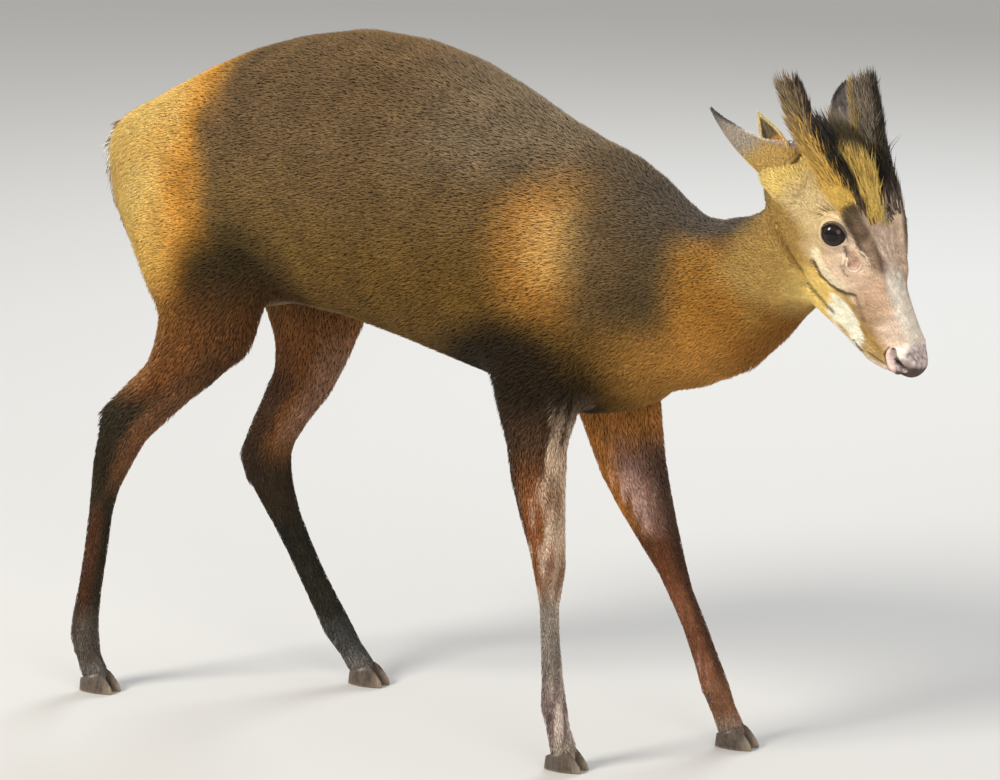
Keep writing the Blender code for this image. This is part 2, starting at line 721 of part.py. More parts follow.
def cut_mouth_and_nostrils(head, cutters):
    """A thin line between the lips and a comma-shaped slit in each side of the nose."""
    for side in (-1, 1):
        line = surface_path(head, on_head(MOUTH_LINE, side), MOUTH_DEPTH)
        radii = [MOUTH_RADIUS] * len(line)
        combine(head, tube("mouth_line", [tuple(p) for p in line], radii, cutters, sides=6), "DIFFERENCE")
        hole = [tuple(p) for p in surface_path(head, on_head(NOSTRIL, side), NOSTRIL_DEPTH)]
        combine(head, tube("nostril", hole, NOSTRIL_RADII, cutters, sides=8), "DIFFERENCE")


def make_eye(name, side, parts):
    local = Vector((EYE_PLACE[0], side * EYE_PLACE[1], EYE_PLACE[2]))
    return ball(name, HEAD @ local, EYE_RADIUS, parts, segments=15)


def make_cup(name, leaf, base, tip, open_towards, spread, parts):
    """A thin leaf rolled about its axis; spread opens it out past its root."""
    base = Vector(base)
    axis = Vector(tip) - base
    along = axis.normalized()
    inward = Vector(open_towards)
    inward = (inward - along * inward.dot(along)).normalized()
    across = along.cross(inward)
    bm = bmesh.new()
    rows = []
    for step, (radius, half_turn) in enumerate(zip(leaf.radii, leaf.half_turns)):
        share = step / (len(leaf.radii) - 1)
        opening = 1 + (spread - 1) * min(1, share * 2.5)
        radius *= opening
        half_turn /= opening
        middle = base + axis * share - inward * leaf.bow * math.sin(math.pi * share)
        row = []
        for column in range(leaf.columns):
            turn = (2 * column / (leaf.columns - 1) - 1) * half_turn
            place = middle + across * radius * math.sin(turn) + inward * radius * (1 - math.cos(turn))
            row.append(bm.verts.new(head_point(*place)))
        rows.append(row)
    for low, high in zip(rows, rows[1:]):
        for column in range(leaf.columns - 1):
            bm.faces.new((low[column], low[column + 1], high[column + 1], high[column]))
    mesh = bpy.data.meshes.new(name)
    bm.to_mesh(mesh)
    bm.free()
    cup = make_object(name, mesh, parts)
    shell = cup.modifiers.new("thickness", "SOLIDIFY")
    shell.thickness = leaf.thickness / 1000
    shell.offset = 0.0
    cup.modifiers.new("triangles", "TRIANGULATE")
    apply_modifiers(cup)
    return cup


def to_side(point, side):
    """A point given for the right side, mirrored for the left one."""
    return (point[0], side * abs(point[1]), point[2])


def make_ear(name, side, tip, open_towards, spread, parts):
    """The ear's leaf with the small pointed lobe in front of its root."""
    ear = make_cup(name, EAR_LEAF, to_side(EAR_BASE, side), to_side(tip, side), open_towards, spread, parts)
    lobe_way = to_side(LOBE_OPEN_TOWARDS, side)
    ends = to_side(LOBE_BASE, side), to_side(LOBE_TIP, side)
    combine(ear, make_cup("lobe", LOBE_LEAF, *ends, lobe_way, 1.0, parts), "UNION")
    return ear


def make_lock(root, way, face, length, width, bend, parts):
    """A flat tapered lock of hair: from its root along way, broad across face, bent by bend."""
    way = way.normalized()
    side = way.cross(face).normalized()
    outlines = []
    for step, share_of_width in enumerate(LOCK_WIDTHS):
        share = step / len(LOCK_WIDTHS)
        middle = root + way * length * share + bend * share ** 2
        half = side * width * share_of_width / 2
        rise = way.cross(side) * LOCK_THICKNESS * (1 - 0.6 * share) / 2
        outlines.append([middle + half, middle + rise, middle - half, middle - rise])
    tip = root + way * length + bend
    bm = bmesh.new()
    rows = [[bm.verts.new(point) for point in outline] for outline in outlines]
    end = bm.verts.new(tip)
    bm.faces.new(rows[0][::-1])
    for low, high in zip(rows, rows[1:]):
        for corner in range(4):
            after = (corner + 1) % 4
            bm.faces.new((low[corner], low[after], high[after], high[corner]))
    for corner in range(4):
        bm.faces.new((rows[-1][corner], rows[-1][(corner + 1) % 4], end))
    bmesh.ops.recalc_face_normals(bm, faces=bm.faces)
    bmesh.ops.triangulate(bm, faces=bm.faces)
    mesh = bpy.data.meshes.new("lock")
    bm.to_mesh(mesh)
    bm.free()
    return make_object("lock", mesh, parts)


def along_path(points, share):
    """The place, heading and radius at a share of a path of (place, radius) pairs."""
    spot = share * (len(points) - 1)
    index = min(int(spot), len(points) - 2)
    rest = spot - index
    (start, low), (end, high) = points[index], points[index + 1]
    return start.lerp(end, rest), (end - start).normalized(), low + (high - low) * rest


def pedicle_path(side):
    """Middles and radii of a pedicle with its hair; the left one is a little shorter."""
    scale = FAR_PEDICLE_SCALE if side > 0 else 1.0
    first = PEDICLE[0]
    path = []
    for row in PEDICLE:
        x, y, z = (start + (value - start) * scale for start, value in zip(first[:3], row[:3]))
        path.append((head_point(x, -side * y, z), row[3] / 1000))
    return path


def make_pedicle(name, side, parts):
    """A pedicle: a core inside, and long bristly locks that lie along it and splay at its top."""
    path = pedicle_path(side)
    core = []
    for step in range(len(path)):
        place, _, radius = along_path(path, PEDICLE_CORE_REACH * step / (len(path) - 1))
        core.append(Ring(*place, radius * PEDICLE_CORE, radius * PEDICLE_CORE))
    item = loft(name, core, (0, 1, 0), parts, sides=10)
    count = PEDICLE_LOCKS[name]
    for number in range(count):
        share = 0.02 + 0.70 * (number / (count - 1)) ** 0.85
        place, heading, radius = along_path(path, share)
        turn = number * GOLDEN_TURN + random.uniform(-0.3, 0.3)
        first = heading.orthogonal().normalized()
        outward = first * math.cos(turn) + heading.cross(first) * math.sin(turn)
        root = place + outward * radius * PEDICLE_CORE * 0.72
        way = heading + outward * random.uniform(0.30, 0.42)
        length = random.uniform(*PEDICLE_LOCK_LENGTH)
        width = random.uniform(*PEDICLE_LOCK_WIDTH) * (1.0 - 0.25 * share)
        bend = (heading * 0.08 - outward * random.uniform(0.10, 0.24)) * length
        combine(item, make_lock(root, way, outward, length, width, bend, parts), "UNION")
    return item


def make_tail(parts):
    """The tail hangs close to the rump; its long hairs reach past it at both sides and below."""
    tail = loft("tail", TAIL, (0, 1, 0), parts, sides=12)
    path = [(Vector(ring[:3]), ring.width) for ring in TAIL]
    for number in range(TAIL_LOCKS):
        share = 0.20 + 0.52 * (number // 2) / (TAIL_LOCKS // 2 - 1)
        place, heading, width = along_path(path, share)
        side = Vector((0, 1 if number % 2 else -1, 0))
        root = place + side * width * random.uniform(0.15, 0.70)
        way = heading + side * random.uniform(0.14, 0.36)
        length = random.uniform(*TAIL_LOCK_LENGTH)
        bend = -side * length * random.uniform(0.02, 0.12)
        breadth = random.uniform(*TAIL_LOCK_WIDTH)
        combine(tail, make_lock(root, way, Vector((-1, 0, 0)), length, breadth, bend, parts), "UNION")
    return tail


def hoof_frame(leg):
    """The slanted plane of the coronet: its middle and its normal, leaning back from the toe."""
    slope = math.radians(CORONET_SLOPE)
    place = Vector((leg.foot[0], leg.foot[1], CORONET_HEIGHT))
    return place, Vector((-math.sin(slope), 0.0, math.cos(slope)))


def make_claw(name, leg, spot, parts, cutters):
    """One claw of a hoof: flat below, pointed at the toe, cut off along the coronet."""
    x, y = leg.foot
    y += spot * HOOF_SPACING / 2
    outlines = []
    for height, length, width, shift in HOOF_ROWS:
        outline = []
        for step in range(HOOF_SIDES):
            angle = 2 * math.pi * step / HOOF_SIDES
            c = math.cos(angle)
            s = math.sin(angle)
            narrow = 1 - HOOF_TOE_NARROWS * max(c, 0) ** 2
            narrow *= HOOF_INNER_WALL if s * spot < 0 else 1.0
            outline.append(Vector((
                x + shift + c * HOOF_LENGTH / 2 * length,
                y + s * HOOF_WIDTH / 2 * width * narrow,
                height,
            )))
        outlines.append(outline)
    claw = skin_rings(name, outlines, parts)
    place, normal = hoof_frame(leg)
    combine(claw, half_space("coronet", place, normal, cutters), "DIFFERENCE")
    return claw


def make_dewclaw(name, leg, spot, parts):
    x, z = leg.fetlock
    y = leg.foot[1] + spot * DEWCLAW_SPACING
    points = [(x + 0.008, y, z + 0.004), (x + 0.003, y + spot * 0.0006, z), (x, y + spot * 0.001, z - 0.006)]
    return tube(name, points, [DEWCLAW_RADIUS, DEWCLAW_RADIUS * 0.9, DEWCLAW_RADIUS * 0.35], parts, sides=8)


def part_body(body, parts, cutters):
    """Cuts the legs and the neck from the trunk, and the head's own end off the neck."""
    legs = {}
    for name, leg in LEGS.items():
        limits = FORE_BLOCK if name.startswith("fore") else HIND_BLOCK
        limb = copy_of(body, "leg_" + name, parts)
        combine(limb, leg_block("leg_space", leg, limits, cutters), "INTERSECT")
        legs[name] = limb
    neck = copy_of(body, "neck", parts)
    for name, leg in LEGS.items():
        limits = FORE_BLOCK if name.startswith("fore") else HIND_BLOCK
        combine(body, leg_block("leg_space", leg, limits, cutters, GAP), "DIFFERENCE")
    combine(body, half_space("neck_side", NECK_CUT, NECK_CUT_NORMAL, cutters), "DIFFERENCE")
    trunk_side = NECK_CUT + NECK_CUT_NORMAL.normalized() * GAP
    combine(neck, half_space("trunk_side", trunk_side, -NECK_CUT_NORMAL, cutters), "DIFFERENCE")
    head_side = HEAD @ HEAD_CUT
    head_normal = HEAD.to_3x3() @ HEAD_CUT_NORMAL
    combine(neck, half_space("head_side", head_side, head_normal, cutters), "DIFFERENCE")
    return legs, neck


def fit_feet(legs, parts, cutters):
    """Cuts each leg off at the coronet and adds its claws and dewclaws."""
    for name, leg in LEGS.items():
        limb = legs[name]
        place, normal = hoof_frame(leg)
        combine(limb, half_space("below", place + normal * GAP, -normal, cutters), "DIFFERENCE")
        for spot, where in ((-1, "right"), (1, "left")):
            make_claw(f"hoof_{name}_{where}", leg, spot, parts, cutters)
            dewclaw = make_dewclaw(f"dewclaw_{name}_{where}", leg, spot, parts)
            combine(limb, grown(dewclaw, "dewclaw_space", cutters), "DIFFERENCE")


def centre_on_floor(parts):
    """Moves the model so that its box is centred over the origin and rests on the floor."""
    corners = []
    for item in parts.objects:
        points = read_points(item)
        corners.append((points.min(axis=0), points.max(axis=0)))
    low = np.min([corner[0] for corner in corners], axis=0)
    high = np.max([corner[1] for corner in corners], axis=0)
    middle = (low + high) / 2
    shift = Matrix.Translation((-middle[0], -middle[1], -low[2]))
    for item in parts.objects:
        item.data.transform(shift)


def finish_materials(parts):
    coat = make_material("coat_brown", (0.22, 0.13, 0.065), 0.85)
    face = make_material("face_tan", (0.42, 0.27, 0.18), 0.80)
    dark = make_material("leg_dark", (0.09, 0.055, 0.04), 0.80)
    hair = make_material("pedicle_hair", (0.20, 0.13, 0.05), 0.85)
    horn = make_material("hoof_horn", (0.16, 0.12, 0.09), 0.45)
    eye = make_material("eye_brown", (0.02, 0.012, 0.010), 0.08)
    white = make_material("tail_hair", (0.60, 0.55, 0.48), 0.85)
    by_start = (
        ("leg_", dark), ("hoof_", horn), ("dewclaw_", horn), ("eye_", eye), ("ear_", face),
        ("pedicle_", hair), ("tail", white), ("head", face), ("torso", coat), ("neck", coat),
    )
    for item in parts.objects:
        for start, material in by_start:
            if item.name.startswith(start):
                item.data.materials.clear()
                item.data.materials.append(material.copy())
                item.data.materials[0].name = item.name + "_finish"
                break
        item.data.shade_smooth()
        item.data.set_sharp_from_angle(angle=math.radians(SHARP_ANGLE))


def build():
    clear_scene()
    random.seed(LOCK_SEED)
    scene = bpy.context.scene
    parts = bpy.data.collections.new("muntjac")
    cutters = bpy.data.collections.new("cutters")
    scene.collection.children.link(parts)
    scene.collection.children.link(cutters)

    body = make_body(parts)
    thin_out(body, BODY_FACES)
    legs, neck = part_body(body, parts, cutters)
    fit_feet(legs, parts, cutters)

    head = make_head(parts)
    thin_out(head, HEAD_FACES)
    forward = (HEAD.to_3x3() @ HEAD_CUT_NORMAL).normalized()
    neck_side = HEAD @ HEAD_CUT + forward * GAP
    combine(head, half_space("neck_end", neck_side, -forward, cutters), "DIFFERENCE")
    cut_eye_sockets(head, cutters)
    cut_mouth_and_nostrils(head, cutters)

    make_eye("eye_right", -1, parts)
    make_eye("eye_left", 1, parts)
    ears = [
        make_ear("ear_right", -1, NEAR_EAR_TIP, NEAR_EAR_OPENS, 1.0, parts),
        make_ear("ear_left", 1, FAR_EAR_TIP, FAR_EAR_OPENS, FAR_EAR_SPREAD, parts),
    ]
    for ear in ears:
        combine(ear, grown(head, "head_space", cutters), "DIFFERENCE")
        combine(ear, grown(neck, "neck_space", cutters), "DIFFERENCE")
    for name, side, ear in (("pedicle_right", -1, ears[0]), ("pedicle_left", 1, ears[1])):
        pedicle = make_pedicle(name, side, parts)
        combine(pedicle, grown(head, "head_space", cutters), "DIFFERENCE")
        combine(pedicle, grown(ear, "ear_space", cutters), "DIFFERENCE")
    tail = make_tail(parts)
    combine(tail, grown(body, "torso_space", cutters), "DIFFERENCE")
    centre_on_floor(parts)
    finish_materials(parts)


build()
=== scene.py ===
import math
from collections import namedtuple

import bmesh
import bpy
import numpy as np
from mathutils import Matrix, Vector
from mathutils.bvhtree import BVHTree


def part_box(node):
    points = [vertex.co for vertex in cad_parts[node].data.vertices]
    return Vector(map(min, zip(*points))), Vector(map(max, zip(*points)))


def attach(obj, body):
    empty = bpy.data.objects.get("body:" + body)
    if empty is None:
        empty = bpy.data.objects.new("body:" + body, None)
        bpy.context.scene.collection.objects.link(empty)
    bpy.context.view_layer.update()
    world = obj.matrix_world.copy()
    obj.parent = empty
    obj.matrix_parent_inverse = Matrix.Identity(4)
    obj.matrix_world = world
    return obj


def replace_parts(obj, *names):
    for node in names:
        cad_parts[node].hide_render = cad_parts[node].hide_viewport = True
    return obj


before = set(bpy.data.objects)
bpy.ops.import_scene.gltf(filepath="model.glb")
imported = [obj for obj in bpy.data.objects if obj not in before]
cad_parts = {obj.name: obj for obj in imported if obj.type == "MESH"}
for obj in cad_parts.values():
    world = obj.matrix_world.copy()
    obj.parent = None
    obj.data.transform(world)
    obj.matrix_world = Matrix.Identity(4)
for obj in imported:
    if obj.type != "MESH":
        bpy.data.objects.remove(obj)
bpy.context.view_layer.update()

# The looks of a still, life-size muntjac: one skin, a coat of small solid tufts, eyes, ears,
# horn and light. Metres. The animal faces +X and its right side is towards -Y.

SEED = 11
BODY_VOXEL = 0.0030
HEAD_VOXEL = 0.00105
SEAM_X = 0.300
COAT_SHARE = 1.0

HEAD = (
    Matrix.Translation((0.420, -0.016, 0.439))
    @ Matrix.Rotation(math.radians(-21.3), 4, "Z")
    @ Matrix.Rotation(math.radians(35.6), 4, "Y")
    @ Matrix.Rotation(math.radians(-4.0), 4, "X")
)
HEAD_TURN = np.array(HEAD.to_3x3())
HEAD_PLACE = np.array(HEAD.translation)

EYE_PLACE = (-0.0010, 0.0273, 0.0023)
EYE_RADIUS = 0.0122
EYE_OPENING = (0.0093, 0.0081)
EYE_TILT = 20.0
EYE_LOOK = (0.42, 0.88, 0.20)

# Sections: middle, half depth, half width, taper to the top, power of the outline
Ring = namedtuple("Ring", "x y z depth width taper power", defaults=(0.0, 2.0))

# Trunk: place along the body, top, bottom, half width, taper
TRUNK = (
    (-0.268, 0.462, 0.430, 0.016, 0.00), (-0.259, 0.473, 0.402, 0.030, 0.00),
    (-0.245, 0.482, 0.376, 0.045, 0.00), (-0.226, 0.491, 0.352, 0.061, 0.02),
    (-0.200, 0.505, 0.334, 0.075, 0.04), (-0.168, 0.521, 0.322, 0.083, 0.08),
    (-0.130, 0.5375, 0.323, 0.086, 0.12), (-0.085, 0.5505, 0.333, 0.087, 0.14),
    (-0.030, 0.5595, 0.3275, 0.090, 0.14), (0.025, 0.555, 0.3155, 0.092, 0.14),
    (0.070, 0.543, 0.304, 0.090, 0.16), (0.110, 0.5255, 0.2935, 0.085, 0.20),
    (0.150, 0.5055, 0.2790, 0.077, 0.24), (0.185, 0.4905, 0.2715, 0.069, 0.24),
    (0.215, 0.480, 0.2765, 0.060, 0.22), (0.245, 0.462, 0.2885, 0.048, 0.16),
)
NECK = (
    Ring(0.180, 0.000, 0.3815, 0.0955, 0.064, 0.16), Ring(0.215, 0.000, 0.378, 0.094, 0.058, 0.14),
    Ring(0.245, -0.001, 0.374, 0.082, 0.050, 0.10), Ring(0.275, -0.002, 0.3735, 0.0715, 0.043, 0.08),
    Ring(0.300, -0.003, 0.380, 0.063, 0.038, 0.06), Ring(0.322, -0.003, 0.392, 0.0535, 0.036, 0.05),
    Ring(0.345, -0.004, 0.407, 0.0445, 0.035, 0.04), Ring(0.366, -0.006, 0.424, 0.0385, 0.033),
)
# Legs from the body to the ground, in tenths of a millimetre: middle, half depth, half width
LEG_ROWS = {
    "fore_right": (
        (1580, -460, 3650, 460, 260), (1620, -550, 3200, 440, 270), (1650, -590, 2850, 360, 240),
        (1650, -610, 2580, 268, 200), (1670, -620, 2290, 235, 180), (1710, -620, 2000, 190, 160),
        (1750, -620, 1760, 152, 142), (1770, -620, 1600, 135, 135), (1770, -620, 1460, 112, 110),
        (1770, -620, 1300, 86, 84), (1780, -620, 1000, 83, 81), (1800, -620, 700, 92, 90),
        (1810, -620, 500, 108, 110), (1850, -620, 330, 98, 102), (1900, -620, 160, 110, 110),
        (1920, -620, 40, 100, 102),
    ),
    "fore_left": (
        (1600, 460, 3500, 460, 260), (1630, 540, 3100, 450, 270), (1675, 590, 2750, 395, 250),
        (1735, 610, 2460, 345, 220), (1810, 620, 2170, 298, 195), (1910, 620, 1930, 248, 175),
        (2005, 620, 1720, 197, 158), (2092, 620, 1540, 158, 142), (2170, 620, 1380, 124, 118),
        (2250, 620, 1190, 106, 98), (2360, 620, 970, 102, 94), (2470, 620, 710, 106, 100),
        (2560, 620, 480, 118, 114), (2640, 620, 300, 106, 104), (2710, 620, 150, 112, 110),
        (2750, 620, 40, 100, 102),
    ),
    "hind_right": (
        (-1760, -420, 4400, 700, 340), (-1540, -540, 3950, 660, 340), (-1390, -610, 3500, 590, 310),
        (-1425, -650, 3150, 450, 270), (-1620, -660, 2880, 320, 225), (-1795, -660, 2670, 250, 185),
        (-1980, -660, 2500, 235, 160), (-2170, -660, 2320, 225, 142), (-2280, -660, 2140, 210, 135),
        (-2360, -660, 1940, 172, 128), (-2420, -660, 1760, 130, 116), (-2470, -660, 1550, 108, 100),
        (-2530, -660, 1200, 104, 96), (-2600, -660, 850, 104, 98), (-2650, -660, 600, 118, 112),
        (-2660, -660, 450, 126, 122), (-2620, -660, 280, 106, 106), (-2560, -660, 140, 114, 110),
        (-2530, -660, 40, 102, 102),
    ),
    "hind_left": (
        (-1650, 420, 4400, 700, 340), (-1380, 530, 3900, 700, 340), (-1220, 600, 3450, 600, 310),
        (-1210, 640, 3120, 490, 280), (-1260, 660, 2800, 355, 245), (-1350, 660, 2520, 280, 210),
        (-1500, 660, 2270, 225, 175), (-1650, 660, 2040, 215, 150), (-1720, 660, 1860, 238, 140),
        (-1700, 660, 1700, 222, 135), (-1630, 660, 1530, 178, 128), (-1530, 660, 1320, 138, 114),
        (-1410, 660, 1100, 122, 104), (-1290, 660, 880, 118, 102), (-1160, 660, 660, 120, 108),
        (-1040, 660, 460, 128, 122), (-910, 660, 290, 108, 106), (-790, 660, 140, 114, 110),
        (-750, 660, 40, 102, 102),
    ),
}
NEAR_HEEL = ((-0.186, 0.290, 0.006), (-0.214, 0.263, 0.006), (-0.239, 0.238, 0.0085), (-0.238, 0.215, 0.008))
FAR_HEEL = ((-0.160, 0.255, 0.006), (-0.176, 0.220, 0.006), (-0.191, 0.182, 0.0085), (-0.184, 0.160, 0.008))
LEGS = {
    name: tuple(Ring(*(value / 10000 for value in row)) for row in rows)
    for name, rows in LEG_ROWS.items()
}
CORONET = {
    "fore_right": (0.193, -0.062), "fore_left": (0.277, 0.062),
    "hind_right": (-0.251, -0.066), "hind_left": (-0.072, 0.066),
}
# Metres, but the slope is in degrees and the hoof's toe and inner wall are shares of its width
CORONET_HEIGHT = 0.0168
CORONET_SLOPE = 24.0
HOOF_LENGTH = 0.0335
HOOF_WIDTH = 0.0114
HOOF_SPACING = 0.0118
HOOF_TOE_NARROWS = 0.52
HOOF_INNER_WALL = 0.86
HOOF_ROWS = 15
HOOF_SIDES = 32
DEWCLAW_FORWARD = 0.0030
# From top to bottom: how far forward, share of the height, radius
DEWCLAW_ROWS = (
    (0.0012, 0.44, 0.0010), (0.0006, 0.25, 0.0024), (0.0, 0.0, 0.0029),
    (-0.0006, -0.25, 0.0022), (-0.0006, -0.40, 0.0009),
)

# The head's own sections, in millimetres: place, top, bottom, half width
SKULL = (
    (104, -31, -42, 8), (100, -26, -47, 12.5), (92, -19, -50, 15), (80, -15, -51, 15.5),
    (65, -9, -53, 16.5), (50, -3, -55, 18.5), (35, 4, -56, 22), (20, 12, -57, 27),
    (5, 19, -58, 31), (-10, 25, -58, 33.5), (-25, 29, -58, 35), (-45, 32, -57, 35),
    (-65, 31, -54, 34), (-80, 25, -48, 31), (-93, 12, -36, 22),
)
JAW = (
    (93, -45, -53, 6), (85, -43, -57, 9.5), (70, -42, -63, 11.5), (50, -42, -66, 12.5),
    (28, -40, -68, 15), (9, -36, -70, 19), (-10, -30, -71, 23), (-30, -25, -71, 26),
    (-48, -20, -66, 27), (-62, -15, -56, 25), (-76, -10, -42, 18),
)
PEDICLE = (
    (4, -17, 13, 8.5), (-11, -19, 22, 11.5), (-29, -24, 30, 13.0), (-49, -30.5, 37, 13.2),
    (-69, -36, 45, 13.0), (-86, -38.5, 54, 12.2), (-98, -40.5, 61, 9.5), (-105, -41, 64, 5.0),
)
FAR_PEDICLE_SCALE = 0.91
FAR_PEDICLE_WIDER = 1.27
FAR_PEDICLE_BACK = 11.0
PEDICLE_DARK_WAY = (0.495, 0.766, 0.409)
TUFT_ASIDE = 3.0
TAIL = (
    Ring(-0.240, 0.0, 0.468, 0.0080, 0.0120), Ring(-0.262, 0.0, 0.463, 0.0080, 0.0130),
    Ring(-0.2710, 0.0, 0.450, 0.0075, 0.0135), Ring(-0.2730, 0.0, 0.430, 0.0075, 0.0135),
    Ring(-0.2695, 0.0, 0.408, 0.0070, 0.0130), Ring(-0.2615, 0.0, 0.387, 0.0060, 0.0110),
    Ring(-0.2525, 0.0, 0.370, 0.0040, 0.0070),
)

# A cup is a leaf rolled about its axis: radius and half its turn at steps from root to tip, in millimetres
Cup = namedtuple("Cup", "radii half_turns bow")
EAR_BASE = (-69, -38, -4)
EAR_TIPS = {-1: (-124, -75, 17), 1: (-134, -66, 27)}
EAR_OPENS = {-1: (-0.60, 0.68, 0.42), 1: (0.50, -0.45, 0.55)}
EAR_SPREAD = {-1: 1.0, 1: 1.3}
EAR_LEAVES = {
    -1: Cup(
        (19.0, 18.0, 15.8, 13.4, 11.6, 10.3, 9.2, 8.2, 7.0, 5.3, 3.2, 0.8),
        (2.6, 2.3, 2.05, 1.85, 1.7, 1.6, 1.5, 1.35, 1.2, 1.05, 0.9, 0.8), 5.0,
    ),
    1: Cup(
        (19.0, 18.2, 16.8, 15.4, 14.4, 13.8, 13.2, 12.6, 11.6, 9.8, 6.6, 1.6),
        (2.6, 2.3, 2.05, 1.85, 1.7, 1.6, 1.5, 1.4, 1.3, 1.25, 1.2, 1.2), 5.0,
    ),
}
LOBE_BASE = (-77, -34, 9)
LOBE_TIP = (-109, -42, 24)
LOBE_LEAF = Cup((7.6, 8.4, 8.2, 6.6, 4.2, 0.6), (1.5, 1.4, 1.25, 1.1, 0.9, 0.8), -1.0)
LOBE_OPENS = (0.50, 0.64, 0.58)

# For the ear and for its lobe: tufts to the square metre, and how wide the pale rim is in metres
EAR_TUFTS = (900000.0, 1100000.0)
EAR_RIMS = (0.0018, 0.0014)
# The far lobe's colours scaled darker and bluer: painted shade
FAR_LOBE_SHADE = (0.42, 0.50, 0.80)

# How far from its middle a fold of the face may reach, in metres
STROKE_REACH = 0.15
TUFT_BREADTHS = (1.0, 0.92, 0.62, 0.4)
# On each pedicle, and on a square metre of the forehead
PEDICLE_TUFTS = 3000
FOREHEAD_TUFTS = 1050000
EYE_BULGE = 0.0006
IRIS_RADIUS = 0.0092
PUPIL = (0.0056, 0.0042)
LID_STEPS = 72
LID_SIDES = 10
LASHES = 60

rng = np.random.default_rng(SEED)
scene = bpy.context.scene


def head_point(x, y, z):
    """A point given in millimetres on the head's own axes: forward, left, up."""
    return HEAD @ Vector((x / 1000, y / 1000, z / 1000))


def find_shift():
    """The pack moved the whole model a little: how far, read off the right eye."""
    low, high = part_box("eye_right")
    place = HEAD @ Vector((EYE_PLACE[0], -EYE_PLACE[1], EYE_PLACE[2]))
    return (low + high) / 2 - place


SHIFT = find_shift()


# Mesh helpers

def make_object(name, data):
    item = bpy.data.objects.new(name, data)
    scene.collection.objects.link(item)
    return item


def from_bmesh(name, bm):
    """An object from a finished bmesh."""
    mesh = bpy.data.meshes.new(name)
    bm.to_mesh(mesh)
    bm.free()
    return make_object(name, mesh)


def join_rows(bm, low, high, closed=True):
    """Faces between two rows of points."""
    for step in range(len(low) if closed else len(low) - 1):
        after = (step + 1) % len(low)
        bm.faces.new((low[step], low[after], high[after], high[step]))


def apply_modifiers(item):
    evaluated = item.evaluated_get(bpy.context.evaluated_depsgraph_get())
    mesh = bpy.data.meshes.new_from_object(evaluated)
    old = item.data
    item.modifiers.clear()
    item.data = mesh
    bpy.data.meshes.remove(old)


def ring_outline(ring, along, across, sides):
    side = (across - along * across.dot(along)).normalized()
    rise = along.cross(side)
    points = []
    for step in range(sides):
        angle = 2 * math.pi * step / sides
        c = math.cos(angle)
        s = math.sin(angle)
        right = math.copysign(abs(c) ** (2 / ring.power), c) * ring.width
        high = math.copysign(abs(s) ** (2 / ring.power), s)
        right *= 1 - ring.taper * high
        points.append(Vector((ring.x, ring.y, ring.z)) + side * right + rise * high * ring.depth)
    return points


def skin_rings(name, outlines):
    """A closed surface through outlines of equal numbers of points."""
    bm = bmesh.new()
    rows = [[bm.verts.new(point) for point in outline] for outline in outlines]
    sides = len(rows[0])
    for low, high in zip(rows, rows[1:]):
        join_rows(bm, low, high)
    for row in (rows[0], rows[-1]):
        middle = bm.verts.new(sum((v.co for v in row), Vector()) / sides)
        for step in range(sides):
            bm.faces.new((row[step], row[(step + 1) % sides], middle))
    bmesh.ops.recalc_face_normals(bm, faces=bm.faces)
    return from_bmesh(name, bm)


def loft(name, rings, place=None, sides=28, upright=False, across=(0, 1, 0)):
    middles = [Vector((ring.x, ring.y, ring.z)) for ring in rings]
    outlines = []
    for index, ring in enumerate(rings):
        before = middles[max(index - 1, 0)]
        after = middles[min(index + 1, len(rings) - 1)]
        heading = Vector((1, 0, 0)) if upright else (after - before).normalized()
        outline = ring_outline(ring, heading, Vector(across), sides)
        outlines.append([place @ point if place else point for point in outline])
    return skin_rings(name, outlines)


def tube(name, points, radii, sides=12):
    rings = [Ring(*point, radius, radius) for point, radius in zip(points, radii)]
    path = Vector(points[-1]) - Vector(points[0])
    across = (0, 1, 0) if abs(path.normalized().y) < 0.8 else (1, 0, 0)
    return loft(name, rings, sides=sides, across=across)


def ball(name, place, radius, segments=24):
    bm = bmesh.new()
    bmesh.ops.create_uvsphere(bm, u_segments=segments, v_segments=segments * 2 // 3, radius=radius)
    for vert in bm.verts:
        vert.co += Vector(place)
    return from_bmesh(name, bm)


def trunk_rings():
    return [
        Ring(x, 0.0, (top + bottom) / 2, (top - bottom) / 2, width, taper, 2.15)
        for x, top, bottom, width, taper in TRUNK
    ]


def head_rings(table, taper):
    return [
        Ring(x / 1000, 0.0, (top + bottom) / 2000, (top - bottom) / 2000, width / 1000, taper, 2.3)
        for x, top, bottom, width in table
    ]


def fuse(name, pieces, voxel):
    """Closed pieces that cross become one closed skin of small faces."""
    bm = bmesh.new()
    for piece in pieces:
        bm.from_mesh(piece.data)
        bpy.data.objects.remove(piece, do_unlink=True)
    item = from_bmesh(name, bm)
    remesh = item.modifiers.new("fuse", "REMESH")
    remesh.mode = "VOXEL"
    remesh.voxel_size = voxel
    apply_modifiers(item)
    return item


def read(item, what="co"):
    values = np.empty(len(item.data.vertices) * 3)
    item.data.vertices.foreach_get(what, values)
    return values.reshape(-1, 3)


def write(item, points):
    item.data.vertices.foreach_set("co", points.ravel())
    item.data.update()


def relax(item, repeats, weight):
    """Moves each point towards the mean of its neighbours, as far as its weight says."""
    points = read(item)
    edges = np.empty(len(item.data.edges) * 2, dtype=np.int64)
    item.data.edges.foreach_get("vertices", edges)
    edges = edges.reshape(-1, 2)
    ends = np.concatenate([edges[:, 0], edges[:, 1]])
    others = np.concatenate([edges[:, 1], edges[:, 0]])
    count = np.maximum(np.bincount(ends, minlength=len(points)), 1)
    for _ in range(repeats):
        mean = np.stack([
            np.bincount(ends, points[others, axis], minlength=len(points)) / count for axis in range(3)
        ], axis=1)
        points = points + (mean - points) * weight[:, None]
    write(item, points)


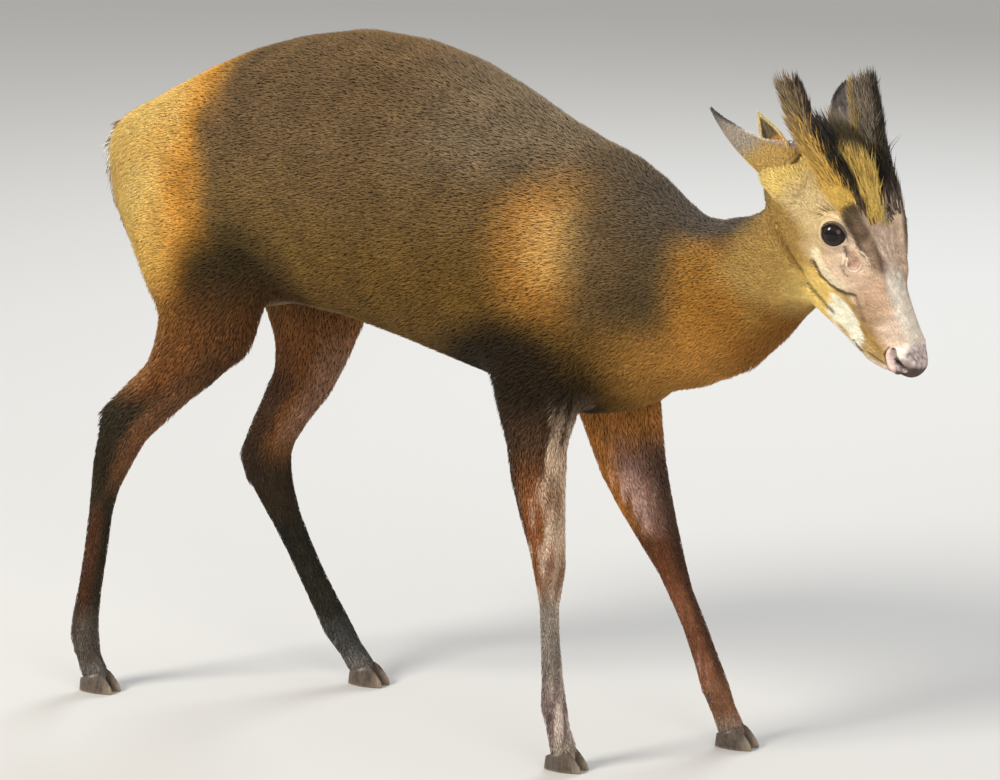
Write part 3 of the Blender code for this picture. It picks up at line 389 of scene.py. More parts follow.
def path_distance(points, path):
    """The shortest distance from each point to a path of straight lengths."""
    nearest = np.full(len(points), np.inf)
    for start, end in zip(path, path[1:]):
        start = np.array(start)
        length = np.array(end) - start
        share = np.clip((points - start) @ length / max(length @ length, 1e-12), 0, 1)
        nearest = np.minimum(nearest, np.linalg.norm(points - start - share[:, None] * length, axis=1))
    return nearest


def finer(path, parts):
    """The path with each of its lengths cut into equal parts."""
    fine = []
    for start, end in zip(path, path[1:]):
        fine += [Vector(start).lerp(Vector(end), step / parts) for step in range(parts)]
    return fine + [Vector(path[-1])]


def surface_tree(item):
    return BVHTree.FromObject(item, bpy.context.evaluated_depsgraph_get())


def stroke(item, path, radius, lift, power=2):
    """Raises the skin along a path laid on it, or presses it in where lift is negative."""
    tree = surface_tree(item)
    laid = [tuple(tree.find_nearest(point)[0]) for point in finer(path, 4)]
    points = read(item)
    near = np.linalg.norm(points - np.mean(laid, axis=0), axis=1) < STROKE_REACH
    distance = np.full(len(points), np.inf)
    distance[near] = path_distance(points[near], laid)
    fade = np.clip(1 - (distance / radius) ** 2, 0, None) ** power
    write(item, points + read(item, "normal") * (fade * lift)[:, None])


def on_head(path, side):
    """A path in millimetres on the head, for the animal's right (-1) or left (1) side."""
    return [tuple(head_point(x, side * abs(y), z)) for x, y, z in path]


def combine(item, other, operation):
    boolean = item.modifiers.new("combine", "BOOLEAN")
    boolean.operation = operation
    boolean.solver = "EXACT"
    boolean.object = other
    apply_modifiers(item)
    bpy.data.objects.remove(other, do_unlink=True)


def smooth(low, high, value):
    """0 below low, 1 above high, with soft ends; low may be the larger."""
    share = np.clip((value - low) / (high - low), 0, 1)
    return share * share * (3 - 2 * share)


def to_local(points):
    """Points on the head's own axes, in millimetres."""
    return (points - HEAD_PLACE) @ HEAD_TURN * 1000


def wobble(points, scale, seed):
    """A soft uneven field between about -1 and 1; scale is the size of its patches in metres."""
    draw = np.random.default_rng(seed)
    total = np.zeros(len(points))
    for _ in range(7):
        way = draw.normal(size=3)
        way *= draw.uniform(0.7, 1.5) * 2 * math.pi / scale / np.linalg.norm(way)
        total += np.sin(points @ way + draw.uniform(0, 6.283))
    return total / 3.2


def mix(first, second, share):
    return first * (1 - share) + second * share


def unit(rows):
    """Rows scaled to length 1."""
    return rows / np.linalg.norm(rows, axis=1)[:, None]


def flat(colour, count):
    return np.tile(np.array(colour), (count, 1))


def blend(base, colour, weight):
    return base + (np.array(colour) - base) * np.clip(weight, 0, 1)[:, None]


def paint(tone, *layers):
    """Lays colours over a tone. A layer is a colour, its share, and ramps (values, from, to)."""
    for colour, share, *ramps in layers:
        weight = np.ones(len(tone)) * share
        for values, low, high in ramps:
            weight = weight * smooth(low, high, values)
        tone = blend(tone, colour, weight)
    return tone


# Legs as paths: how far down each a point is, and how far before or behind its middle

def leg_table(rings, z):
    """A leg's middle (x, y), half depth and half width at each height."""
    table = np.array([ring[:5] for ring in rings])[::-1]
    return [np.interp(z, table[:, 2], table[:, column]) for column in (0, 1, 3, 4)]


def leg_share(points, rings):
    """How far before its middle each point lies, how far from it in all, and the limb's heading there."""
    step = 0.004
    z = points[:, 2]
    x, y, depth, width = leg_table(rings, z)
    below, above = leg_table(rings, z - step), leg_table(rings, z + step)
    heading = np.stack([below[0] - above[0], below[1] - above[1], np.full(len(z), -2 * step)], axis=1)
    away = np.hypot((points[:, 0] - x) / depth, (points[:, 1] - y) / width)
    return (points[:, 0] - x) / depth, away, unit(heading)


def leg_weights(points):
    """For each leg, how much a point belongs to it."""
    weights = {}
    for name, rings in LEGS.items():
        _, away, _ = leg_share(points, rings)
        same_side = points[:, 1] * rings[0].y > 0
        top = 0.33 if name.startswith("fore") else 0.38
        low = smooth(top, top - 0.09, points[:, 2])
        near = np.where(points[:, 2] < 0.24, away < 2.6, away < 1.45)
        weights[name] = low * near * same_side
    return weights


# Coat marks, painted light and painted shade: the same functions colour the skin and every tuft. Paths are in
# millimetres on the head's axes

GROOVE = ((-2, 30.5, -29), (0.4, 29.6, -30.7), (7.5, 26.8, -34.9), (16, 24.9, -35), (24, 23.6, -33.4),
          (32.6, 21.4, -30), (39.6, 19.9, -25.5))
JAW_STREAK = ((-2, 22, -52), (3, 20.3, -53.4), (12, 18.3, -54.3), (20, 16.7, -55), (27, 15.2, -55))
JAW_PATCH = ((27, 16, -53), (38, 15, -50), (50, 13, -50), (56, 12, -55))
STRIPE = ((-5, 28.5, 25.5), (2, 28, 23), (8, 26, 20), (15, 22, 16))
STRIPE_TAIL = ((15, 22, 16), (22, 18.5, 11.5), (30, 15, 7.5), (37, 12.5, 4))
RIB = ((11, 10.5, 18.5), (18.7, 8.4, 15.0), (26.6, 6.6, 11.4), (32, 5.6, 9.0))
RIB_INNER = ((11.9, 0, 18.2), (17.6, 0, 15.5), (24, 0, 12.7), (34, 0, 8))
NOSE_ARC = ((85.2, 15.9, -33.1), (83.9, 12, -44.2), (88.4, 7, -50.8), (94, 5, -51), (100, 4, -49.5))
WING = ((87.3, 14.6, -34), (88.6, 12.6, -40), (92.8, 10.2, -44), (98.4, 7.8, -44))
NOSTRIL = ((90.4, 14.5, -32.5), (93.2, 12.8, -35.5), (97.8, 10.4, -38), (102, 7, -39.2))
MOUTH = ((101, 2, -49), (98, 6, -50.5), (90, 10.5, -52.5), (78, 12.5, -55), (65, 13, -58), (54, 13.5, -59))
GLAND = ((15, 26.6, -2), (18.5, 26.3, -4), (21.2, 27.2, -6.8), (23.1, 27.2, -9.5), (26.6, 26.2, -10.1),
         (29.3, 24.6, -8.1), (29.6, 22.6, -5.3), (28.4, 21.7, -3))
GLAND_FOLD = ((22.6, 22.4, 4.9), (26.6, 21.3, 6), (31.1, 20, 4.7), (35, 18.8, 1.7))
GLAND_REAR = ((19.3, 28.2, -8.5), (20.4, 27.4, -12.9), (24, 26.2, -16.3), (27.7, 25.1, -16.1))
GLAND_INNER = ((20.3, 23.6, -1.2), (23.5, 22.7, -2.2), (26.7, 22.2, -4.6), (24.4, 24.6, -6.6))
LID_CREASE = ((-14, 29, 8), (-5, 31, 13.5), (5, 31, 13), (12, 29, 7.5))
TEAR = ((12.3, 28.4, 0.9), (15.1, 26.6, -1.4), (18.5, 26.3, -3))
NOSE_EDGE = ((-60, -51, -44, -37, -30, -21, -15), (91, 88.5, 84.5, 85.5, 89.5, 96.5, 99))

CHEEK_SHADE = ((40, 20, -26), (48, 18, -30), (55, 17, -35))
LOWER_RIM = ((-12, 32, -6), (-5, 32, -9.5), (4, 31.5, -9), (11, 29, -4))
CHEEK_LIGHT = ((-4, 31, -21), (6, 30, -27), (16, 27, -30), (27, 25, -28))
CHIN = ((90, 7, -57), (78, 9, -60), (66, 9, -62))
JAW_LIGHT = ((25, 20, -43), (36, 18, -41), (48, 15, -45))
STRIPE_EDGE = ((4, 28, 18), (11, 26.5, 14), (18, 22.5, 9.5), (25, 18.5, 6.0))
PAINTED_PATHS = (
    GROOVE, JAW_STREAK, JAW_PATCH, JAW_LIGHT, STRIPE, STRIPE_TAIL, STRIPE_EDGE, RIB, RIB_INNER,
    NOSE_ARC, WING, NOSTRIL, MOUTH, GLAND, GLAND_FOLD, GLAND_REAR, GLAND_INNER, LID_CREASE, TEAR,
    CHEEK_SHADE, LOWER_RIM, CHIN, CHEEK_LIGHT,
)

NEUTRAL_BACK = (0.190, 0.120, 0.056)
LAID = {}


def lay_paths(skin):
    """Drops each painted path, for marks and for painted highlights and shade, onto the finished skin, so
    that its line follows the folds.
    """
    tree = surface_tree(skin)
    for path in PAINTED_PATHS:
        spots = [tuple(tree.find_nearest(Vector(place))[0]) for place in on_head(finer(path, 3), -1)]
        laid = to_local(np.array(spots)) * np.array((1, -1, 1))
        LAID[path] = [tuple(row) for row in laid]


def head_tone(local, normals):
    """Colours of the head at points on its own axes."""
    x, y, z = local[:, 0], np.abs(local[:, 1]), local[:, 2]
    mirrored = np.stack([x, y, z], axis=1)

    def line(path, radius, soft):
        return smooth(radius + soft, radius - soft * 0.3, path_distance(mirrored, LAID[path]))

    uneven = wobble(local / 1000, 0.011, 61)
    # A pale painted highlight along the top of the muzzle
    bridge_highlight = smooth(12.5, 6, y) * smooth(24, 50, x) * smooth(-34, -14, z)
    patch = line(JAW_PATCH, 5.5, 4.5)
    patch = np.maximum(patch, smooth(-58, -63, z) * smooth(22, 34, x) * smooth(60, 52, x))
    patch = np.maximum(patch, line(JAW_LIGHT, 4.0, 3.5))
    shown = np.where(local[:, 1] > 0, smooth(13, 18, y), 1.0)
    golden = smooth(11, 7, np.abs(local[:, 1] + TUFT_ASIDE)) * smooth(12, 3, x) * smooth(12, 20, z)
    outer = smooth(20, 23.5, y) * smooth(1, -7, x + 0.35 * (y - 22)) * smooth(-46, -34, x) * smooth(13, 19, z)
    tone = paint(
        flat((0.45, 0.285, 0.085), len(local)),
        ((0.90, 0.69, 0.235), 1, (x, -34, -56), (z, -24, -6)),
        ((0.80, 0.64, 0.35), 0.85, (x, -56, -38), (x, -2, -14), (z, -24, -6)),
        ((0.66, 0.50, 0.27), 1, (x, -26, -8), (z, -34, -24)),
        ((0.78, 0.60, 0.44), 1, (x, -4, 14), (z, -34, -26)),
        ((0.62, 0.43, 0.30), 1, (x, 24, 48), (z, -34, -20)),
        ((0.44, 0.285, 0.175), 0.8, (x, 38, 52), (x, 82, 66), (z, -44, -32), (z, -14, -22)),
        ((0.80, 0.63, 0.50), 1, (x, 62, 80), (z, -44, -24)),
        ((0.92, 0.85, 0.74), 0.9 * bridge_highlight),
        ((0.88, 0.66, 0.22), 0.85, (z, -30, -40), (z, -77, -64), (x, -18, 2), (x, 40, 18)),
        ((0.95, 0.93, 0.78), 0.94 * patch),
        ((0.50, 0.36, 0.18), 0.55, (z, -44, -50), (x, 58, 66)),
        ((0.90, 0.82, 0.60), 0.75 * line(CHEEK_LIGHT, 2.5, 5.0)),
        ((0.075, 0.050, 0.020), 0.92 * line(GROOVE, 0.9, 1.6)),
        ((0.24, 0.150, 0.085), 0.7 * line(CHEEK_SHADE, 1.3, 3.2)),
        ((0.11, 0.075, 0.030), 0.8 * line(JAW_STREAK, 0.8, 2.0)),
        ((0.86, 0.63, 0.49), 0.8, (y, 13, 8), (x, 4, 12), (x, 46, 34)),
        ((0.24, 0.150, 0.098), 0.85 * line(STRIPE_TAIL, 5.0, 4.4) * shown),
        ((0.155, 0.098, 0.062), 0.92 * line(STRIPE, 5.4, 4.4) * shown),
        ((0.080, 0.050, 0.032), 0.85 * line(STRIPE_EDGE, 1.2, 3.2)),
        ((0.060, 0.042, 0.020), 0.85 * line(STRIPE, 5.4, 4.4) * shown, (x, 14, -2)),
        ((0.92, 0.80, 0.66), 0.9 * line(RIB, 0.5, 1.0)),
        ((0.76, 0.64, 0.48), 0.7 * line(RIB_INNER, 0.6, 1.6)),
        ((0.74, 0.50, 0.13), golden),
        ((0.68, 0.45, 0.095), 0.9 * outer),
        ((0.022, 0.017, 0.012), (1 - golden), (y, 23, 19), (x, 9, -9), (z, 10, 18)),
        # Painted highlight: a pale line along the crease above the upper lid
        ((0.86, 0.72, 0.52), 0.8 * line(LID_CREASE, 0.7, 1.4)),
        ((0.90, 0.70, 0.56), 0.85 * line(LOWER_RIM, 1.1, 1.6)),
        ((0.46, 0.27, 0.185), 0.75 * line(GLAND_INNER, 2.4, 2.6)),
        ((0.28, 0.155, 0.10), 0.7 * line(GLAND_REAR, 0.7, 1.2)),
        # Painted shade: darker bands beside the pale rims of the gland and of its fold
        ((0.22, 0.125, 0.080), 0.8 * line(GLAND, 1.3, 1.0)),
        ((0.95, 0.82, 0.68), 0.95 * line(GLAND, 0.35, 0.8)),
        ((0.25, 0.145, 0.095), 0.75 * line(GLAND_FOLD, 1.4, 1.1)),
        ((0.93, 0.78, 0.62), 0.85 * line(GLAND_FOLD, 0.35, 0.8)),
        ((0.09, 0.055, 0.040), 0.9 * line(TEAR, 0.5, 0.9)),
    )
    tone *= (1 + 0.07 * uneven)[:, None]
    pad = smooth(-2.2, 2.0, x - np.interp(z, *NOSE_EDGE) + 0.9 * wobble(local / 1000, 0.006, 7))
    mottle = smooth(0.1, 0.7, wobble(local / 1000, 0.0040, 5))
    # Painted highlights: bright spots on the wet pad and a paler top. Painted shade: the pad darker at its
    # underside and where it faces down
    shine = smooth(0.25, 0.8, wobble(local / 1000, 0.0034, 9))
    pad_top_highlight = smooth(-38, -31, z) * smooth(100, 94, x + 0.4 * (local[:, 1] + 8))
    below = np.maximum(smooth(-41.5, -46, z), smooth(0.0, -0.5, normals[:, 2]) * smooth(88, 94, x))
    tone = paint(
        tone,
        ((0.56, 0.450, 0.435), 0.96 * pad),
        ((0.17, 0.120, 0.120), pad * mottle * 0.8),
        # Painted highlights on the pad and at its top, then painted shade under it
        ((0.78, 0.70, 0.68), pad * shine * 0.55),
        ((0.90, 0.82, 0.70), pad * pad_top_highlight * 0.92),
        ((0.070, 0.042, 0.032), pad * below * 0.95),
        ((0.62, 0.425, 0.375), 0.95 * line(WING, 3.2, 1.0)),
        ((0.84, 0.66, 0.60), 0.7 * line(WING, 0.8, 2.0)),
        ((0.045, 0.026, 0.020), 0.95 * line(NOSE_ARC, 0.7, 0.9)),
        ((0.008, 0.005, 0.005), line(NOSTRIL, 1.1, 0.8)),
        ((0.028, 0.019, 0.015), line(MOUTH, 0.5, 1.0)),
        ((0.66, 0.55, 0.42), 0.8 * line(CHIN, 2.0, 2.5)),
    )
    return tone


def leg_tone(name, across, z, points):
    """Colours down one leg: across is -1 at its back and 1 at its front."""
    count = len(z)
    streak = wobble(points * np.array([1, 1, 0.18]), 0.010, 17)
    if name == "fore_right":
        front = smooth(0.22 + 0.50 * smooth(0.22, 0.29, z), 0.85, across + 0.22 * streak)
        tone = paint(
            flat((0.110, 0.056, 0.028), count),
            ((0.018, 0.012, 0.007), 1, (z, 0.275, 0.305)),
            ((0.37, 0.135, 0.044), 1, (z, 0.270, 0.215)),
            ((0.76, 0.56, 0.40), front, (z, 0.310, 0.265)),
            ((0.062, 0.036, 0.020), 1, (across, -0.2, -0.8), (z, 0.15, 0.20)),
            ((0.44, 0.265, 0.170), 1, (z, 0.185, 0.160), (across, -0.5, 0.2)),
            ((0.34, 0.285, 0.240), 1, (z, 0.155, 0.125)),
            ((0.70, 0.56, 0.44), 0.55, (streak, 0.1, 0.9), (z, 0.24, 0.18)),
            ((0.30, 0.215, 0.200), 1, (z, 0.085, 0.050)),
            # A pale streak down the front of the fetlock: partly pale hair, partly painted sunlit spots
            ((0.80, 0.66, 0.58), 0.7, (streak + 0.6 * across, 0.0, 0.8), (z, 0.085, 0.050)),
        )
    elif name == "fore_left":
        # A pale pink painted sheen down the middle of the far foreleg and on its pastern
        painted_sheen = smooth(0.60, 0.1, np.abs(across - 0.15 + 0.25 * streak))
        tone = paint(
            flat((0.52, 0.215, 0.048), count),
            ((0.300, 0.160, 0.115), 1, (z, 0.265, 0.225), (across, -0.5, 0.2)),
            ((0.86, 0.56, 0.46), painted_sheen * 0.8, (z, 0.24, 0.20), (z, 0.15, 0.18)),
            ((0.210, 0.078, 0.032), 1, (z, 0.185, 0.160)),
            ((0.36, 0.145, 0.072), 1, (z, 0.140, 0.110)),
            ((0.62, 0.36, 0.27), painted_sheen * 0.7, (z, 0.115, 0.085), (streak, -0.2, 0.7)),
            ((0.060, 0.032, 0.022), 0.8, (across, 0.45, 0.95), (z, 0.26, 0.22)),
            ((0.34, 0.160, 0.085), 1, (z, 0.07, 0.04)),
        )
    elif name == "hind_right":
        tone = paint(
            flat((0.215, 0.078, 0.020), count),
            ((0.36, 0.165, 0.055), 1, (z, 0.36, 0.31), (across, -0.2, -0.8)),
            ((0.048, 0.026, 0.012), 0.6, (z, 0.34, 0.30), (across, 0.1, 0.8)),
            ((0.038, 0.027, 0.013), 1, (z, 0.275, 0.245)),
            ((0.20, 0.088, 0.036), 1, (z, 0.29, 0.25), (across, 0.1, 0.8), (z, 0.16, 0.20)),
            ((0.105, 0.042, 0.018), 1, (z, 0.175, 0.145), (np.abs(across), 0.9, 0.2)),
            ((0.135, 0.108, 0.085), 1, (z, 0.085, 0.050)),
        )
    else:
        tone = paint(
            flat((0.25, 0.098, 0.028), count),
            ((0.36, 0.205, 0.135), 0.7, (z, 0.32, 0.27), (z, 0.18, 0.23), (across, 0.2, 0.9)),
            ((0.070, 0.032, 0.016), 1, (z, 0.30, 0.245), (across, 0.6, -0.3)),
            ((0.048, 0.030, 0.016), 1, (z, 0.215, 0.170)),
            ((0.030, 0.027, 0.018), 1, (z, 0.150, 0.120)),
            ((0.085, 0.083, 0.078), 1, (z, 0.065, 0.040)),
        )
    pale = {"fore_right": (0.42, 0.36, 0.28), "fore_left": (0.44, 0.33, 0.24)}.get(name, (0.20, 0.185, 0.165))
    tone = blend(tone, pale, smooth(0.032, 0.022, z) * 0.75)
    return tone * (1 + 0.16 * streak)[:, None]


def body_tone(points, normals):
    """Colours of the trunk, neck and legs."""
    x, y, z = points.T
    # lit is 1 on the near side, which takes the painted sunlight: the shoulder patch, the brighter rump and a
    # stronger painted shadow band
    lit = smooth(0.012, -0.012, y)
    edge = x + 0.008 * wobble(points, 0.06, 2)
    # rump: where the rump's warm colour lies; deep: where a painted sun patch lies within it
    rump = smooth(-0.112, -0.158, edge) * smooth(0.29, 0.36, z)
    deep = smooth(-0.140, -0.195, edge) * (0.88 + 0.12 * wobble(points, 0.05, 3))
    # spot: distance from the middle of a round shoulder patch of painted sunlight
    spot = np.hypot((x - 0.188) / 0.056, (z - 0.414) / 0.066)
    neck = smooth(0.20, 0.262, x)
    side = smooth(0.455, 0.405, z)
    # shade: where a band of painted shadow lies, from the upper shoulder forward
    shade = smooth(0.175, 0.215, x) * smooth(0.33, 0.37, z)
    under = smooth(-0.55, -0.92, normals[:, 2]) * smooth(0.05, 0.02, np.abs(y)) * smooth(0.24, 0.27, z)
    tone = paint(
        flat((0.185, 0.108, 0.027), len(points)),
        (NEUTRAL_BACK, 1, (z, 0.37, 0.50)),
        ((0.24, 0.150, 0.052), 0.45, (x, 0.02, -0.07), (z, 0.48, 0.40)),
        # The rump's warm colour is partly its own and partly painted sunlight, brighter on the near side; the
        # bright gold deep in it is a painted sun patch
        ((0.72, 0.35, 0.055), rump * (0.45 + 0.55 * lit)),
        ((1.0, 0.72, 0.240), rump * deep * (0.35 + 0.65 * lit)),
        ((0.46, 0.185, 0.030), 0.75, (x, -0.13, -0.20), (z, 0.37, 0.31)),
        # Painted sunlight: a round bright patch on the shoulder, near side only
        ((0.50, 0.255, 0.062), 0.80 * lit, (spot, 1.30, 0.60)),
        ((0.76, 0.49, 0.175), 0.75 * lit, (spot, 0.75, 0.15)),
        ((0.235, 0.175, 0.108), 1, (z, 0.44, 0.49), (x, 0.02, 0.13)),
        # Painted shadow across the upper shoulder, stronger on the near side
        ((0.120, 0.088, 0.052), shade * (0.40 + 0.45 * lit)),
        ((0.47, 0.240, 0.048), side, (x, 0.252, 0.292)),
        ((0.58, 0.310, 0.088), neck * 0.85, (z, 0.375, 0.325)),
        # Painted shade: the lower front of the neck darker where it faces down
        ((0.30, 0.125, 0.028), 0.7, (x, 0.30, 0.33), (normals[:, 2], 0.1, -0.5), (z, 0.46, 0.42)),
        ((0.40, 0.315, 0.110), side * 0.6, (x, 0.322, 0.345), (normals[:, 2], -0.6, -0.1)),
        ((0.125, 0.102, 0.078), neck * np.maximum(1 - side, smooth(0.45, 0.80, normals[:, 2]))),
        # Painted shade: dark under the chest, near black behind the elbow and in the flank before the hind
        # leg
        ((0.060, 0.038, 0.018), 0.7, (z, 0.330, 0.292), (x, 0.00, 0.07), (x, 0.20, 0.14)),
        ((0.020, 0.013, 0.006), 0.97, (np.hypot((x - 0.143) * 0.85, z - 0.298), 0.076, 0.040)),
        ((0.030, 0.022, 0.009), 0.92, (np.hypot(x + 0.102, (z - 0.350) * 0.9), 0.078, 0.026)),
        ((0.38, 0.28, 0.17), under * 0.7, (x, 0.06, -0.02)),
    )
    warm = 1 - 0.35 * smooth(0.44, 0.36, z)
    tone *= np.stack([warm ** 0.2, warm ** 0.4, warm], axis=1)
    for name, weight in leg_weights(points).items():
        across, _, _ = leg_share(points, LEGS[name])
        tone += (leg_tone(name, across, z, points) - tone) * weight[:, None]
    tone *= (1 + 0.10 * wobble(points, 0.045, 23) + 0.07 * wobble(points, 0.016, 29))[:, None]
    return tone


def head_share(points):
    """How much a point belongs to the head: 0 on the neck, 1 from the jowl forward."""
    x, _, z = to_local(points).T
    front = smooth(-100, -62, x + 0.28 * z)
    above_throat = smooth(-98, -74, z - 0.25 * np.minimum(x + 20, 0))
    return front * above_throat * (points[:, 0] > SEAM_X - 0.02)


def markings_and_painted_light(points, normals):
    share = head_share(points)[:, None]
    return mix(body_tone(points, normals), head_tone(to_local(points), normals), share)


def coat_depth(points):
    """How far the skin lies inside the coat."""
    local = to_local(points)
    depth = np.full(len(points), 0.0034)
    for name, weight in leg_weights(points).items():
        lower = 0.0013 + 0.0014 * smooth(0.16, 0.28, points[:, 2])
        depth += (lower - depth) * weight
    face = 0.0004 + 0.0014 * smooth(-14, -60, local[:, 0])
    share = head_share(points)
    return depth * (1 - share) + face * share


def hair_way(points, normals):
    """The lie of the coat: back along the trunk, down the legs, and from the nose to the crown."""
    x, y, z = points.T
    way = flat((-1.0, 0.0, -0.16), len(points))
    for target, share in (
        ((-0.85, 0.0, -0.42), smooth(0.44, 0.34, z)),
        ((-0.40, 0.0, -1.0), smooth(-0.16, -0.25, x)),
        ((-1.0, 0.0, 0.0), smooth(-0.5, -0.9, normals[:, 2])),
    ):
        way = mix(way, np.array(target), share[:, None])
    for name, weight in leg_weights(points).items():
        way = mix(way, leg_share(points, LEGS[name])[2], weight[:, None])
    local = to_local(points)
    face = flat((-1.0, 0.0, -0.10), len(points))
    face = mix(face, np.array((-1.0, 0.0, 0.12)), smooth(0, 22, local[:, 2])[:, None])
    face[:, 2] -= 0.35 * smooth(-34, -54, local[:, 2]) * smooth(30, 0, local[:, 0])
    return mix(way, face @ HEAD_TURN.T, head_share(points)[:, None])


# The skin

def make_body_skin():
    pieces = [
        loft("trunk", trunk_rings(), upright=True),
        loft("neck_form", NECK),
        loft("skull_rear", head_rings(SKULL[6:], 0.0), HEAD),
        loft("jaw_rear", head_rings(JAW[5:], 0.0), HEAD),
    ]
    for points, y in ((NEAR_HEEL, -0.066), (FAR_HEEL, 0.066)):
        pieces.append(tube("heel", [(x, y, z) for x, z, _ in points], [row[2] for row in points]))
    for rings in LEGS.values():
        pieces.append(loft("leg", rings))
    body = fuse("body", pieces, BODY_VOXEL)
    height = np.clip((read(body)[:, 2] - 0.13) / 0.16, 0, 1)
    relax(body, 20, 0.12 + 0.45 * height)
    return body


def eye_frame(side):
    """The eye's middle, the way it looks, and the two axes of its lid opening, on the head's axes."""
    middle = Vector((EYE_PLACE[0], side * EYE_PLACE[1], EYE_PLACE[2]))
    look = Vector((EYE_LOOK[0], side * EYE_LOOK[1], EYE_LOOK[2])).normalized()
    tilt = math.radians(EYE_TILT)
    corner = Vector((math.cos(tilt), 0.0, math.sin(tilt)))
    corner = (corner - look * corner.dot(look)).normalized()
    return middle, look, corner, side * corner.cross(look)


def lid_reach(angle):
    """The opening's outline: nearly round, drawn out a little at the tear corner."""
    return 1 + 0.22 * max(0, math.cos(angle)) ** 14 + 0.06 * max(0, -math.cos(angle)) ** 10


def cut_eye_opening(head, side):
    middle, look, corner, rise = eye_frame(side)
    socket = ball("socket", HEAD @ middle, EYE_RADIUS + 0.0003, 32)
    rows = []
    for reach, scale in ((0.002, 0.40), (EYE_RADIUS * 0.7, 1.0), (0.024, 1.6)):
        row = []
        for step in range(32):
            angle = 2 * math.pi * step / 32
            out = scale * lid_reach(angle)
            along = math.cos(angle) * EYE_OPENING[0] * out
            high = math.sin(angle) * EYE_OPENING[1] * out
            row.append(HEAD @ (middle + look * reach + corner * along + rise * high))
        rows.append(row)
    combine(socket, skin_rings("lid_opening", rows), "UNION")
    combine(head, socket, "DIFFERENCE")


FAR_FOLDS = (
    (((26, 27, -9), (40, 22, -4)), 0.0120, 0.0022),
    (((101, 7, -35), (100, 8, -42)), 0.0120, 0.0022),
)
# Folds of both sides: path, half width and rise in metres, and sometimes how steep
FOLDS = (
    (GLAND_INNER, 0.0060, -0.0024), (GLAND, 0.0044, -0.0012), (GLAND, 0.0017, 0.0024),
    (GLAND_FOLD, 0.0040, -0.0009), (GLAND_FOLD, 0.0017, 0.0019), (GLAND_REAR, 0.0022, -0.0007),
    (TEAR, 0.0018, -0.0014), (LID_CREASE, 0.0026, -0.0012),
    (((103, 3, -36), (102, 4, -44), (97, 8, -46)), 0.0130, 0.0030),
    (((-8, 34, -18), (9, 34, -26), (26, 29, -29), (41, 22, -28)), 0.0060, -0.0012),
    (GROOVE, 0.0034, -0.0014), (JAW_STREAK, 0.0036, -0.0009),
    (((40, 8, 4), (20, 9, 13), (5, 10, 20)), 0.0050, -0.0014),
    (RIB, 0.0024, 0.0011), (RIB_INNER, 0.0026, 0.0005),
    (((-42, 30, -38), (-28, 31, -48), (-14, 30, -40)), 0.0200, 0.0025),
    (((58, 17, -28), (74, 16, -36), (82, 15, -42)), 0.0090, 0.0010),
    (NOSE_ARC, 0.0020, -0.0011), (WING, 0.0042, 0.0017),
    (((99, 8, -47), (88, 12, -48), (74, 14, -50), (58, 15, -53)), 0.0036, 0.0009),
    (((96, 5, -55), (84, 9, -58), (70, 11, -61)), 0.0040, 0.0008),
    (MOUTH, 0.0017, -0.0019), (NOSTRIL, 0.0021, -0.0040, 1),
)


def shape_face(head, side):
    """The folds of one side of the face."""
    for path, *size in (FAR_FOLDS if side > 0 else ()) + FOLDS:
        stroke(head, on_head(path, side), *size)


def make_head_skin():
    pieces = [
        loft("skull", head_rings(SKULL, 0.10), HEAD),
        loft("jaw", head_rings(JAW, -0.10), HEAD),
        loft("neck_rear", NECK[2:]),
    ]
    for side in (-1, 1):
        pieces.append(ball("orbit", HEAD @ eye_frame(side)[0], EYE_RADIUS + 0.0019))
        brow = ((50, 11, -6), (34, 14, 3), (18, 17, 12), (2, 20, 19), (-14, 22, 24), (-32, 26, 28))
        pieces.append(tube("brow", on_head(brow, side), (0.002, 0.005, 0.0075, 0.009, 0.010, 0.009)))
        root = ((-50, 22, 0), (-62, 30, -3), (-74, 36, -4), (-80, 39, -3))
        pieces.append(tube("ear_root", on_head(root, side), (0.020, 0.0178, 0.0138, 0.0100)))
    head = fuse("head_skin", pieces, HEAD_VOXEL)
    relax(head, 26, np.full(len(head.data.vertices), 0.5))
    for side in (-1, 1):
        shape_face(head, side)
    relax(head, 2, np.full(len(head.data.vertices), 0.3))
    for side in (-1, 1):
        cut_eye_opening(head, side)
    return head


def slice_off(item, place, normal):
    """Opens a skin along a plane; the side that the normal points to goes."""
    bm = bmesh.new()
    bm.from_mesh(item.data)
    geometry = list(bm.verts) + list(bm.edges) + list(bm.faces)
    bmesh.ops.bisect_plane(
        bm, geom=geometry, dist=1e-6, plane_co=Vector(place), plane_no=Vector(normal), clear_outer=True
    )
    bm.to_mesh(item.data)
    bm.free()


def make_skin():
    """Body and head skins cut along one plane of the neck and sewn together there."""
    body = make_body_skin()
    head = make_head_skin()
    slice_off(body, (SEAM_X, 0, 0), (1, 0, 0))
    slice_off(head, (SEAM_X, 0, 0), (-1, 0, 0))
    bm = bmesh.new()
    bm.from_mesh(body.data)
    bm.from_mesh(head.data)
    for piece in (body, head):
        bpy.data.objects.remove(piece, do_unlink=True)
    rims = [e for e in bm.edges if e.is_boundary and abs(e.verts[0].co.x - SEAM_X) < 1e-4]
    bmesh.ops.bridge_loops(bm, edges=rims)
    bmesh.ops.triangulate(bm, faces=[f for f in bm.faces if len(f.verts) > 4])
    bmesh.ops.recalc_face_normals(bm, faces=bm.faces)
    skin = from_bmesh("muntjac_skin", bm)
    relax(skin, 12, 0.5 * np.exp(-((read(skin)[:, 0] - SEAM_X) / 0.006) ** 2))
    points = read(skin)
    write(skin, points - read(skin, "normal") * coat_depth(points)[:, None])
    return skin


# Tufts

